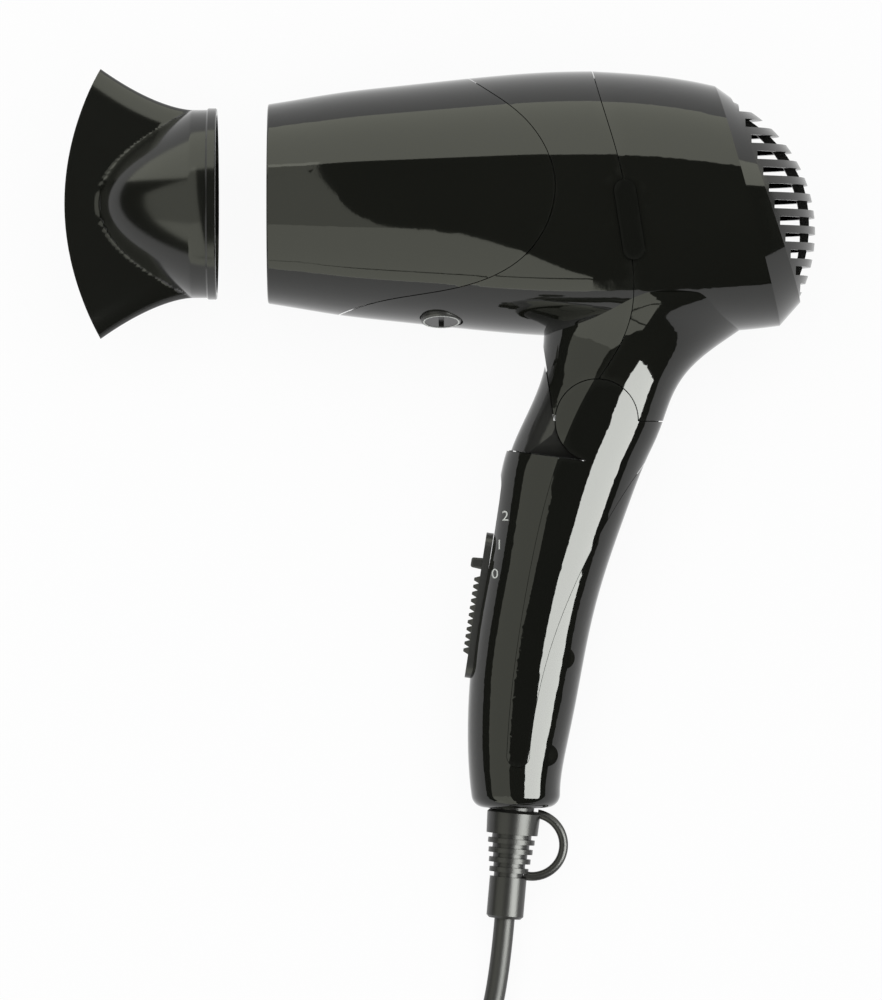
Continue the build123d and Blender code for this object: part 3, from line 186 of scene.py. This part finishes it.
def add_math(tree, operation, first, second=None):
    """A math node fed by sockets or numbers."""
    node = tree.nodes.new("ShaderNodeMath")
    node.operation = operation
    for slot, value in enumerate((first, second)):
        if value is None:
            continue
        if isinstance(value, (int, float)):
            node.inputs[slot].default_value = value
        else:
            tree.links.new(value, node.inputs[slot])
    return node.outputs[0]


def add_noise(tree, place, scale, detail=2.0, roughness=0.5):
    """A noise texture at a place, with its scale per metre."""
    node = tree.nodes.new("ShaderNodeTexNoise")
    node.inputs["Detail"].default_value = detail
    node.inputs["Roughness"].default_value = roughness
    if isinstance(scale, (int, float)):
        node.inputs["Scale"].default_value = scale
    else:
        tree.links.new(scale, node.inputs["Scale"])
    tree.links.new(place, node.inputs["Vector"])
    return node.outputs["Fac"]


def moulded_skin():
    """Moulded plastic: cloudy tone, a fine skin and a roughness that drifts."""
    group, given, out = new_group(
        "moulded_skin",
        [("Colour", "NodeSocketColor", (0.03, 0.03, 0.03, 1)), ("Cloud", "NodeSocketFloat", 0.12),
         ("Grain Scale", "NodeSocketFloat", 900.0), ("Roughness", "NodeSocketFloat", 0.1),
         ("Roughness Drift", "NodeSocketFloat", 0.03)],
        [("Colour", "NodeSocketColor"), ("Roughness", "NodeSocketFloat"), ("Height", "NodeSocketFloat")])
    place = group.nodes.new("ShaderNodeTexCoord").outputs["Object"]
    cloud = add_noise(group, place, 26.0, 3.0)
    grain = add_noise(group, place, given.outputs["Grain Scale"], 2.0)
    smudge = add_noise(group, place, 75.0, 4.0, 0.6)
    swing = add_math(group, "MULTIPLY", add_math(group, "SUBTRACT", cloud, 0.5), given.outputs["Cloud"])
    tone = group.nodes.new("ShaderNodeVectorMath")
    tone.operation = "SCALE"
    group.links.new(given.outputs["Colour"], tone.inputs[0])
    shade = add_math(group, "ADD", add_math(group, "MULTIPLY", swing, 2.0), 1.0)
    group.links.new(shade, tone.inputs["Scale"])
    group.links.new(tone.outputs[0], out.inputs["Colour"])
    dullness = add_math(group, "SUBTRACT", smudge, 0.45)
    drift = add_math(group, "MULTIPLY", dullness, given.outputs["Roughness Drift"])
    group.links.new(add_math(group, "ADD", given.outputs["Roughness"], drift), out.inputs["Roughness"])
    group.links.new(grain, out.inputs["Height"])
    return group


def hairline_wear():
    """Hairlines from handling: a mask of thin, long streaks in two directions."""
    group, given, out = new_group(
        "hairline_wear", [("Length Scale", "NodeSocketFloat", 60.0), ("Amount", "NodeSocketFloat", 0.5)],
        [("Mask", "NodeSocketFloat")])
    place = group.nodes.new("ShaderNodeTexCoord").outputs["Object"]
    masks = []
    for turn, stretch in ((0.6, 55.0), (-0.35, 40.0)):
        mapping = group.nodes.new("ShaderNodeMapping")
        mapping.inputs["Rotation"].default_value = (0.2, 0.3, turn)
        mapping.inputs["Scale"].default_value = (1.0, stretch, 1.0)
        group.links.new(place, mapping.inputs["Vector"])
        streak = add_noise(group, mapping.outputs[0], given.outputs["Length Scale"], 1.0)
        masks.append(add_math(group, "GREATER_THAN", streak, 0.76))
    both = add_math(group, "MAXIMUM", masks[0], masks[1])
    group.links.new(add_math(group, "MULTIPLY", both, given.outputs["Amount"]), out.inputs["Mask"])
    return group


def rubbed_edges():
    """Edges polished by use: a mask from how pointed the surface is."""
    group, given, out = new_group(
        "rubbed_edges", [("Amount", "NodeSocketFloat", 0.5)], [("Mask", "NodeSocketFloat")])
    shape = group.nodes.new("ShaderNodeNewGeometry").outputs["Pointiness"]
    ramp = group.nodes.new("ShaderNodeMapRange")
    ramp.inputs["From Min"].default_value = 0.54
    ramp.inputs["From Max"].default_value = 0.64
    group.links.new(shape, ramp.inputs["Value"])
    mask = add_math(group, "MULTIPLY", ramp.outputs[0], given.outputs["Amount"])
    group.links.new(mask, out.inputs["Mask"])
    return group


GROUPS = {}


def use_group(tree, name, **values):
    """Place a shared group in a material and set its values."""
    if name not in GROUPS:
        GROUPS[name] = {"moulded_skin": moulded_skin, "hairline_wear": hairline_wear,
                        "rubbed_edges": rubbed_edges}[name]()
    node = tree.nodes.new("ShaderNodeGroup")
    node.node_tree = GROUPS[name]
    for label, value in values.items():
        node.inputs[label.replace("_", " ")].default_value = value
    return node


def start_material(name):
    """A material with its Principled shader."""
    made = bpy.data.materials.new(name)
    made.use_nodes = True
    return made, made.node_tree, made.node_tree.nodes["Principled BSDF"]


def add_bump(tree, shader, height, distance, strength=1.0):
    """Feed a height to the shader's normal."""
    bump = tree.nodes.new("ShaderNodeBump")
    bump.inputs["Distance"].default_value = distance
    bump.inputs["Strength"].default_value = strength
    tree.links.new(height, bump.inputs["Height"])
    tree.links.new(bump.outputs["Normal"], shader.inputs["Normal"])


def plastic(name, colour, roughness, drift=0.015, cloud=0.12, grain=900.0,
            depth=0.000002, hairs=0.35, rub=0.3):
    """Moulded plastic with its own skin, hairlines and rubbed edges."""
    made, tree, shader = start_material(name)
    skin = use_group(tree, "moulded_skin", Colour=(*colour, 1), Cloud=cloud, Grain_Scale=grain,
                     Roughness=roughness, Roughness_Drift=drift)
    hair = use_group(tree, "hairline_wear", Length_Scale=60.0, Amount=hairs)
    edge = use_group(tree, "rubbed_edges", Amount=rub)
    mix = tree.nodes.new("ShaderNodeMix")
    mix.data_type = "RGBA"
    tree.links.new(edge.outputs["Mask"], mix.inputs[0])
    tree.links.new(skin.outputs["Colour"], mix.inputs[6])
    mix.inputs[7].default_value = (*[min(1.0, c * 2.4 + 0.01) for c in colour], 1)
    tree.links.new(mix.outputs[2], shader.inputs["Base Color"])
    worn = add_math(tree, "MULTIPLY", hair.outputs["Mask"], 0.10)
    tree.links.new(add_math(tree, "ADD", skin.outputs["Roughness"], worn), shader.inputs["Roughness"])
    add_bump(tree, shader, skin.outputs["Height"], depth)
    shader.inputs["IOR"].default_value = 1.5
    return made


def metal(name, colour, roughness, streak=(1.0, 1.0, 30.0), depth=0.000003):
    """Drawn or brushed metal with fine streaks and tarnish."""
    made, tree, shader = start_material(name)
    place = tree.nodes.new("ShaderNodeTexCoord").outputs["Object"]
    mapping = tree.nodes.new("ShaderNodeMapping")
    mapping.inputs["Scale"].default_value = streak
    tree.links.new(place, mapping.inputs["Vector"])
    lines = add_noise(tree, mapping.outputs[0], 900.0, 2.0)
    stain = add_noise(tree, place, 180.0, 4.0)
    ramp = tree.nodes.new("ShaderNodeValToRGB")
    ramp.color_ramp.elements[0].color = (*[c * 0.72 for c in colour], 1)
    ramp.color_ramp.elements[1].color = (*colour, 1)
    tree.links.new(stain, ramp.inputs["Fac"])
    tree.links.new(ramp.outputs["Color"], shader.inputs["Base Color"])
    shader.inputs["Metallic"].default_value = 1.0
    rough = add_math(tree, "ADD", add_math(tree, "MULTIPLY", lines, 0.12), roughness)
    tree.links.new(rough, shader.inputs["Roughness"])
    add_bump(tree, shader, lines, depth)
    return made


def finish_nodes(made, names):
    """Give CAD nodes their finish."""
    for name in names:
        node = NODES[name]
        node.data.materials.clear()
        node.data.materials.append(made)


# ---------------------------------------------------------------- operators
class MAKE_OT_camera(bpy.types.Operator):
    """Place the camera square to the dryer's plane, on a long lens."""
    bl_idname = "hair_dryer.camera"
    bl_label = "Camera"

    def execute(self, context):
        view_height = 0.300
        reach = 3.0
        data = bpy.data.cameras.new("studio_camera")
        data.sensor_width = 36.0
        data.lens = data.sensor_width / view_height * reach
        data.clip_end = 50.0
        camera = bpy.data.objects.new("studio_camera", data)
        context.scene.collection.objects.link(camera)
        aim = in_plane((0.0519, -0.0888, 0.0))
        turn = Matrix((PLANE_ACROSS, PLANE_UP, PLANE_NORMAL)).transposed().to_4x4()
        camera.matrix_world = Matrix.Translation(aim + PLANE_NORMAL * reach) @ turn
        context.scene.camera = camera
        return {"FINISHED"}


def coil_points():
    """Two layers of turns as half circles that step inward, climb and step outward."""
    lower = [-(COIL_OUTER - COIL_PITCH * k / 2) * (-1) ** k for k in range(2 * COIL_TURNS)] + [-COIL_INNER]
    first_up = COIL_INNER + COIL_SLACK + COIL_PITCH / 2
    upper = [COIL_INNER]
    upper += [(first_up + COIL_PITCH * k / 2) * (-1) ** (k + 1) for k in range(2 * COIL_TURNS - 1)]
    spread = 1 / math.cos(math.pi / HALF_TURN_POINTS / 2)
    points = []

    def half_turn(start, end, low, high):
        middle, bow = (start + end) / 2, (start - end) / 2
        for step in range(HALF_TURN_POINTS):
            share = (step + 0.5) / HALF_TURN_POINTS
            angle = math.pi * share
            rise = low + (high - low) * (0.5 - 0.5 * math.cos(angle))
            points.append(COIL_CENTRE + Vector((
                middle + bow * spread * math.cos(angle), bow * spread * math.sin(angle), rise)))

    for start, end in zip(lower, lower[1:]):
        half_turn(start, end, 0.0, 0.0)
    half_turn(-COIL_INNER, COIL_INNER, 0.0, COIL_LAYER)
    for start, end in zip(upper, upper[1:]):
        half_turn(start, end, COIL_LAYER, COIL_LAYER)
    return points, upper[-1]


class MAKE_OT_cord(bpy.types.Operator):
    """Lay the mains cord from the strain relief to its coil and plug."""
    bl_idname = "hair_dryer.cord"
    bl_label = "Mains cord"

    def execute(self, context):
        look = context.scene.dryer_cord
        turns, last_cross = coil_points()
        tail_start = COIL_CENTRE + Vector((last_cross, 0, COIL_LAYER))
        points = [CORD_EXIT, Vector((0.069769, -0.225794, -0.033184)),
                  Vector((0.0665, -0.243, CORD_Z + 0.0012)), Vector((0.0603, -0.259, CORD_Z)),
                  COIL_CENTRE + Vector((-COIL_OUTER, 0.022, 0))]
        points += turns
        for x, y, lift in ((0.0, -0.030, 0.0066), (0.0005, -0.055, 0.0020), (0.003, -0.078, 0.0053),
                           (0.003, -0.096, 0.0053)):
            points.append(Vector((tail_start.x + x, tail_start.y + y, CORD_Z + lift)))
        data = bpy.data.curves.new("mains_cord", "CURVE")
        data.dimensions = "3D"
        data.bevel_depth = look.radius
        data.bevel_resolution = 6
        data.resolution_u = 8
        data.use_fill_caps = True
        line = data.splines.new("NURBS")
        line.points.add(len(points) - 1)
        for point, place in zip(line.points, points):
            point.co = (*place, 1.0)
        line.order_u = 3
        line.use_endpoint_u = True
        cord = bpy.data.objects.new("mains_cord", data)
        context.scene.collection.objects.link(cord)
        rubber = plastic("cord_rubber", look.colour, 0.42, drift=0.10, cloud=0.2, grain=2600.0,
                         depth=0.00002, hairs=0.2, rub=0.0)
        data.materials.append(rubber)
        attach(cord, "handle")
        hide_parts("cord_lead", "cord_coil", "cord_tail")
        blades = ["plug_blade_left", "plug_blade_right"]
        finish_nodes(rubber, ["plug_body"])
        relief = plastic("relief_rubber", look.colour, 0.33, drift=0.10, cloud=0.2, grain=2200.0,
                         depth=0.00001, hairs=0.2, rub=0.25)
        finish_nodes(relief, ["strain_relief"])
        finish_nodes(metal("blade_brass", (0.75, 0.60, 0.32), 0.22), blades)
        return {"FINISHED"}


class MAKE_OT_shells(bpy.types.Operator):
    """Polish the barrel and handle shells, the trim and the seam clips."""
    bl_idname = "hair_dryer.shells"
    bl_label = "Shells and trim"

    def execute(self, context):
        look = context.scene.dryer_shell
        shell = plastic("polished_shell", look.shell_colour, look.roughness)
        finish_nodes(shell, [
            "nose_cover", "front_housing", "rear_housing", "handle_near", "handle_far"])
        trim = plastic("polished_trim", look.trim_colour, look.roughness * 0.7)
        finish_nodes(trim, ["seam_clip_near", "seam_clip_far", "handle_trim"])
        return {"FINISHED"}


def soft_top(first, second, blend):
    """The higher of two heights, rounded where they meet."""
    near = max(blend - abs(first - second), 0.0)
    return max(first, second) + (near * near / (4 * blend) if blend > 0 else 0.0)


def nozzle_ring(share, inset):
    """One ring of the nozzle's skin: a round dome sinking into a flat fan, from the collar to the slot."""
    tip_x = WAIST_X + (LIP_TIP_X - WAIST_X) * share
    nose_x = WAIST_X + (LIP_NOSE_X - WAIST_X) * share
    half = NOZZLE_R + (LIP_TIP_UP - NOZZLE_R) * share ** FLARE_POWER
    inner_half = half - inset
    ring = []
    for k in range(RING_POINTS):
        turn = 2 * math.pi * (k + 0.5) / RING_POINTS
        up = inner_half * math.cos(turn)
        x = nose_x + (tip_x - nose_x) * (up / half) ** 2
        dome = NOZZLE_R * math.sqrt(max(0.0, 1 - (WAIST_X - x) / DOME_LENGTH)) - inset
        edge = inner_half - abs(up)
        rolled = 1 - min(edge / EDGE_ROLL, 1.0)
        plate = (FAN_HALF - inset) * (1 - rolled ** ROLL_START) ** ROLL_END
        round_part = math.sqrt(max(0.0, dome * dome - up * up)) if dome > 0 else 0.0
        height = soft_top(plate, round_part, DOME_BLEND * min(1.0, edge / BLEND_MARGIN))
        ring.append(in_plane((x, up, height if turn < math.pi else -height)))
    return ring


def round_ring(x, radius):
    """A plain ring of the nozzle's collar."""
    turns = (2 * math.pi * (k + 0.5) / RING_POINTS for k in range(RING_POINTS))
    return [in_plane((x, radius * math.cos(t), radius * math.sin(t))) for t in turns]


class MAKE_OT_nozzle(bpy.types.Operator):
    """Model the air nozzle with a smoother dome in place of the CAD one."""
    bl_idname = "hair_dryer.nozzle"
    bl_label = "Nozzle"

    def execute(self, context):
        look = context.scene.dryer_shell
        made = plastic("nozzle_plastic", look.shell_colour, 0.14, drift=0.05, grain=1400.0)
        shares = [k / FAN_STEPS for k in range(FAN_STEPS + 1)]
        inner_r = NOZZLE_R - NOZZLE_WALL
        collar_x = RIM_X - RIM_LENGTH - RIM_STEP
        rings = [round_ring(RIM_X, RIM_R - RIM_BEVEL), round_ring(RIM_X - RIM_BEVEL, RIM_R),
                 round_ring(RIM_X - RIM_LENGTH, RIM_R), round_ring(collar_x, NOZZLE_R)]
        rings += [nozzle_ring(share, 0.0) for share in shares]
        rings += [nozzle_ring(share, NOZZLE_WALL) for share in reversed(shares)]
        rings += [round_ring(collar_x, inner_r), round_ring(RIM_X, inner_r)]
        points = [tuple(p) for ring in rings for p in ring]
        faces = []
        for row in range(len(rings)):
            here, there = row * RING_POINTS, (row + 1) % len(rings) * RING_POINTS
            for k in range(RING_POINTS):
                after = (k + 1) % RING_POINTS
                faces.append((here + k, there + k, there + after, here + after))
        mesh = bpy.data.meshes.new("nozzle_form")
        mesh.from_pydata(points, [], faces)
        work = bmesh.new()
        work.from_mesh(mesh)
        bmesh.ops.recalc_face_normals(work, faces=work.faces)
        work.to_mesh(mesh)
        work.free()
        mesh.polygons.foreach_set("use_smooth", [True] * len(mesh.polygons))
        mesh.set_sharp_from_angle(angle=math.radians(32))
        mesh.materials.append(made)
        nozzle = bpy.data.objects.new("nozzle_form", mesh)
        context.scene.collection.objects.link(nozzle)
        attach(nozzle, "nozzle")
        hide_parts("nozzle")
        return {"FINISHED"}


class MAKE_OT_grilles(bpy.types.Operator):
    """Finish the inlet and outlet grilles."""
    bl_idname = "hair_dryer.grilles"
    bl_label = "Grilles"

    def execute(self, context):
        look = context.scene.dryer_shell
        satin = plastic("grille_plastic", look.grille_colour, 0.2, drift=0.06, grain=1600.0, depth=0.000006)
        finish_nodes(satin, ["inlet_grille", "outlet_grille"])
        return {"FINISHED"}


def conform(points, shell, lift):
    """Drop points along the plane's normal onto a CAD shell, a hair above it."""
    tree = BVHTree.FromObject(NODES[shell], bpy.context.evaluated_depsgraph_get())
    placed = []
    for point in points:
        hit = tree.ray_cast(point + PLANE_NORMAL * 0.1, -PLANE_NORMAL)
        if hit[0] is None:
            hit = tree.find_nearest(point)
        placed.append(hit[0] + hit[1] * lift)
    return placed


class MAKE_OT_seam_fillers(bpy.types.Operator):
    """Close the open lines at the handle's shoulder and rear ledge with thin dark strips: a lip that stops the
    floor showing through, dark and matte as painted shade in the seam gaps.
    """
    bl_idname = "hair_dryer.seam_fillers"
    bl_label = "Seam fillers"

    def execute(self, context):
        # Dark matte strip colour: painted shade for the seam gaps.
        made = plastic("seam_shade_filler", (0.006, 0.006, 0.005), 0.6, depth=0.0, hairs=0.0, rub=0.0)
        drop = (SHOULDER_INNER[1] - SHOULDER_OUTER[1]) / (SHOULDER_INNER[0] - SHOULDER_OUTER[0])

        def shoulder(x):
            return SHOULDER_OUTER[1] + drop * (x - SHOULDER_OUTER[0])

        def ledge(x):
            return LEDGE_LOW

        for name, body, start, end, low in (
                ("shoulder_filler", "housing", 0.0744, 0.0942, shoulder),
                ("shoulder_tip_filler", "handle", 0.0724, 0.0735, shoulder),
                ("ledge_filler", "handle", 0.1112, 0.1172, ledge)):
            edge = ((start, FILLER_FLOOR), (end, FILLER_FLOOR), (end, FILLER_TOP), (start, FILLER_TOP))
            corners = [(x, low(x) + rise, z) for z in (-FILLER_HALF_DEPTH, FILLER_HALF_DEPTH) for x, rise in edge]
            mesh = bpy.data.meshes.new(name)
            mesh.from_pydata([tuple(in_plane(c)) for c in corners], [], [
                (3, 2, 1, 0), (4, 5, 6, 7), (0, 1, 5, 4), (1, 2, 6, 5), (2, 3, 7, 6), (3, 0, 4, 7)])
            mesh.materials.append(made)
            strip = bpy.data.objects.new(name, mesh)
            context.scene.collection.objects.link(strip)
            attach(strip, body)
        return {"FINISHED"}


class MAKE_OT_switch(bpy.types.Operator):
    """Finish the slide switch and print its numerals on the handle."""
    bl_idname = "hair_dryer.switch"
    bl_label = "Slide switch"

    def execute(self, context):
        look = context.scene.dryer_marks
        finish_nodes(plastic("switch_plastic", (0.022, 0.022, 0.020), 0.32, drift=0.08, grain=1800.0,
                             depth=0.00001, rub=0.5), ["slide_switch", "voltage_dial"])
        ink = plastic("white_print", look.colour, 0.45, cloud=0.1, depth=0.0, hairs=0.1, rub=0.0)
        cap_share = 0.69
        for text, across, up in (("2", 0.0712, -0.0937), ("1", 0.0694, -0.1023), ("0", 0.0681, -0.1110)):
            curve = bpy.data.curves.new("numeral", "FONT")
            curve.body = text
            curve.size = look.height / cap_share
            curve.align_x = "CENTER"
            curve.align_y = "CENTER"
            curve.resolution_u = 4
            glyph = bpy.data.objects.new("glyph", curve)
            context.scene.collection.objects.link(glyph)
            context.view_layer.update()
            mesh = bpy.data.meshes.new_from_object(glyph)
            bpy.data.objects.remove(glyph)
            work = bmesh.new()
            work.from_mesh(mesh)
            bmesh.ops.triangulate(work, faces=work.faces)
            bmesh.ops.subdivide_edges(work, edges=work.edges, cuts=3, use_grid_fill=True)
            work.to_mesh(mesh)
            work.free()
            flat = [in_plane((across + v.co.x, up + v.co.y, 0.01)) for v in mesh.vertices]
            for vertex, place in zip(mesh.vertices, conform(flat, "handle_near", 0.00008)):
                vertex.co = place
            mesh.materials.clear()
            mesh.materials.append(ink)
            numeral = bpy.data.objects.new("switch_numeral_" + text, mesh)
            context.scene.collection.objects.link(numeral)
            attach(numeral, "handle")
        return {"FINISHED"}


class MAKE_OT_dial_ring(bpy.types.Operator):
    """Print the ring round the selector dial's face."""
    bl_idname = "hair_dryer.dial_ring"
    bl_label = "Dial ring"

    def execute(self, context):
        inner, outer, steps, lift = 0.0050, 0.0055, 48, 0.00006
        side = DIAL_NORMAL.cross(PLANE_ACROSS).normalized()
        rings = []
        for radius in (inner, outer):
            rings.append([
                DIAL_CENTRE + DIAL_NORMAL * lift
                + (PLANE_ACROSS * math.cos(a) + side * math.sin(a)) * radius
                for a in (2 * math.pi * k / steps for k in range(steps))])
        faces = [(k, (k + 1) % steps, steps + (k + 1) % steps, steps + k) for k in range(steps)]
        mesh = bpy.data.meshes.new("dial_ring")
        mesh.from_pydata([tuple(p) for p in rings[0] + rings[1]], [], faces)
        mesh.materials.append(bpy.data.materials["white_print"])
        ring = bpy.data.objects.new("dial_ring", mesh)
        context.scene.collection.objects.link(ring)
        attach(ring, "dial")
        return {"FINISHED"}


class MAKE_OT_inside(bpy.types.Operator):
    """Finish the heater, motor, fan, hinge core and the pieces inside the handle."""
    bl_idname = "hair_dryer.inside"
    bl_label = "Inner pieces"

    def execute(self, context):
        black = (0.024, 0.024, 0.022)
        finish_nodes(plastic("core_plastic", black, 0.12, drift=0.05), ["hinge_core"])
        finish_nodes(plastic("inner_plastic", black, 0.4, drift=0.1, depth=0.00001),
                     ["motor_duct", "fan_wheel", "selector_block", "switch_block", "cord_clamp"])
        mica = plastic("mica_sheet", (0.50, 0.42, 0.30), 0.35, drift=0.2, cloud=0.5, grain=500.0, depth=0.00002)
        finish_nodes(mica, ["mica_sleeve", "heater_board_flat", "heater_board_upright"])
        finish_nodes(metal("nichrome_wire", (0.42, 0.38, 0.36), 0.3), ["heating_wire"])
        finish_nodes(metal("plated_steel", (0.58, 0.58, 0.60), 0.24), [
            "motor", "motor_shaft", "hinge_pin", "handle_screw_upper", "handle_screw_lower", "thermostat",
            "thermal_fuse"])
        finish_nodes(plastic("circuit_board", (0.22, 0.13, 0.05), 0.4, cloud=0.3),
                     ["rectifier_board"])
        finish_nodes(plastic("lead_sleeve", (0.42, 0.42, 0.40), 0.45, cloud=0.2),
                     ["switch_lead_near", "switch_lead_far"])
        return {"FINISHED"}


def white_where_seen(tree):
    """One where a camera, mirror or glass ray looks, and nought for the light itself."""
    rays = tree.nodes.new("ShaderNodeLightPath")
    seen = add_math(tree, "MAXIMUM", rays.outputs["Is Camera Ray"], rays.outputs["Is Glossy Ray"])
    return add_math(tree, "MAXIMUM", seen, rays.outputs["Is Transmission Ray"])


def softbox(name, place, across, up, level, tint, mirrored_only=True):
    """A rectangular lamp with two edge vectors in the dryer's plane; its face has the given brightness."""
    centre = in_plane(place)
    side, top = in_plane(across), in_plane(up)
    away = side.cross(top).normalized()
    if away.dot(centre) < 0:
        side, away = -side, -away
    data = bpy.data.lights.new(name, "AREA")
    data.shape = "RECTANGLE"
    data.size = side.length
    data.size_y = top.length
    data.color = tint
    data.energy = level * math.pi * side.length * top.length
    lamp = bpy.data.objects.new(name, data)
    bpy.context.scene.collection.objects.link(lamp)
    turn = Matrix((side.normalized(), top.normalized(), away)).transposed().to_4x4()
    lamp.matrix_world = Matrix.Translation(centre) @ turn
    lamp.visible_camera = False
    lamp.visible_diffuse = not mirrored_only
    lamp.visible_glossy = mirrored_only


def card(name, corners, made):
    """A flat piece of studio furniture."""
    mesh = bpy.data.meshes.new(name)
    mesh.from_pydata(corners, [], [tuple(range(len(corners)))])
    mesh.materials.append(made)
    piece = bpy.data.objects.new(name, mesh)
    bpy.context.scene.collection.objects.link(piece)


class MAKE_OT_studio(bpy.types.Operator):
    """Pale floor, overhead softbox and the bright walls that the gloss mirrors."""
    bl_idname = "hair_dryer.studio"
    bl_label = "Studio"

    def execute(self, context):
        look = context.scene.dryer_studio
        made, tree, shader = start_material("pale_floor")
        shader.inputs["Roughness"].default_value = 0.9
        shader.inputs["Specular IOR Level"].default_value = 0.1
        place = tree.nodes.new("ShaderNodeTexCoord").outputs["Object"]
        fleck = add_noise(tree, place, 3.0, 2.0)
        ramp = tree.nodes.new("ShaderNodeValToRGB")
        ramp.color_ramp.elements[0].color = (*[c * 0.985 for c in look.floor_colour], 1)
        ramp.color_ramp.elements[1].color = (*look.floor_colour, 1)
        tree.links.new(fleck, ramp.inputs["Fac"])
        tree.links.new(ramp.outputs["Color"], shader.inputs["Base Color"])
        glow = tree.nodes.new("ShaderNodeEmission")
        glow.inputs["Strength"].default_value = 1.0
        mix = tree.nodes.new("ShaderNodeMixShader")
        tree.links.new(add_math(tree, "MULTIPLY", white_where_seen(tree), 0.93), mix.inputs["Fac"])
        tree.links.new(shader.outputs[0], mix.inputs[1])
        tree.links.new(glow.outputs[0], mix.inputs[2])
        tree.links.new(mix.outputs[0], tree.nodes["Material Output"].inputs["Surface"])
        half = 4.0
        corners = [(across * half, deep * half, FLOOR_Z) for across, deep in ((-1, -1), (1, -1), (1, 1), (-1, 1))]
        card("floor", corners, made)

        world = bpy.data.worlds.new("soft_world")
        world.use_nodes = True
        tree = world.node_tree
        back = tree.nodes["Background"]
        back.inputs["Color"].default_value = (0.97, 0.98, 1.0, 1)
        rays = tree.nodes.new("ShaderNodeLightPath")
        lit = add_math(tree, "SUBTRACT", 1.0, rays.outputs["Is Glossy Ray"])
        lit = add_math(tree, "ADD", add_math(tree, "MULTIPLY", lit, 0.42), 0.03)
        shown = add_math(tree, "MULTIPLY", rays.outputs["Is Camera Ray"], 0.55)
        tree.links.new(add_math(tree, "ADD", lit, shown), back.inputs["Strength"])
        context.scene.world = world

        level = look.overhead_level
        olive, cool = (1.0, 1.02, 0.87), (0.98, 1.0, 0.95)
        softbox("overhead", (0.0, 0.2, 1.5), (2.2, 0, 0), (0, 1.7, 0), 1.6 * level, (1, 1, 1),
                mirrored_only=False)
        # Mirrored in the gloss only: bright walls above, to the left and below, and a strong box to the right.
        softbox("wall_above", (0.05, 1.45, 0.75), (6.0, 0, 0), (0, 0.14, 1.9), 1.9 * level, olive)
        softbox("wall_left", (-1.538, 0.07, 1.0), (-2.465, -0.41, 0), (-0.241, 1.45, 0), 1.0 * level, olive)
        softbox("wall_lower_left", (-1.235, -1.755, 1.0), (-2.465, -0.41, 0), (-0.366, 2.204, 0),
                1.6 * level, olive)
        softbox("wall_below", (-1.2, -2.9, 0.27), (-2.9, 0, 0), (0, 0, 1.46), 1.6 * level, olive)
        softbox("box_right", (1.127, -0.29, 0.947), (0.77, 0, -0.93), (0, 1.3, 0), look.strip_level, cool)
        context.scene.view_settings.view_transform = "Standard"
        return {"FINISHED"}


OPERATORS = [MAKE_OT_camera, MAKE_OT_cord, MAKE_OT_shells, MAKE_OT_nozzle, MAKE_OT_grilles,
             MAKE_OT_seam_fillers, MAKE_OT_switch, MAKE_OT_dial_ring, MAKE_OT_inside, MAKE_OT_studio]
SETTINGS = {"dryer_shell": ShellSettings, "dryer_cord": CordSettings, "dryer_marks": MarkSettings,
            "dryer_studio": StudioSettings}


class MAKE_PT_dryer(bpy.types.Panel):
    """Lists the dryer's settings and the steps that dress it."""
    bl_idname = "MAKE_PT_dryer"
    bl_label = "Hair dryer"
    bl_space_type = "VIEW_3D"
    bl_region_type = "UI"
    bl_category = "Hair dryer"

    def draw(self, context):
        for name in SETTINGS:
            group = getattr(context.scene, name)
            for key in group.bl_rna.properties.keys():
                if key not in ("rna_type", "name"):
                    self.layout.prop(group, key)
        for step in OPERATORS:
            self.layout.operator(step.bl_idname)


def register():
    for kind in list(SETTINGS.values()) + OPERATORS + [MAKE_PT_dryer]:
        bpy.utils.register_class(kind)
    for name, kind in SETTINGS.items():
        setattr(bpy.types.Scene, name, PointerProperty(type=kind))


def unregister():
    for name in SETTINGS:
        delattr(bpy.types.Scene, name)
    for kind in reversed(list(SETTINGS.values()) + OPERATORS + [MAKE_PT_dryer]):
        bpy.utils.unregister_class(kind)


def main():
    register()
    for step in OPERATORS:
        group, name = step.bl_idname.split(".")
        getattr(getattr(bpy.ops, group), name)()


if __name__ == "__main__":
    main()
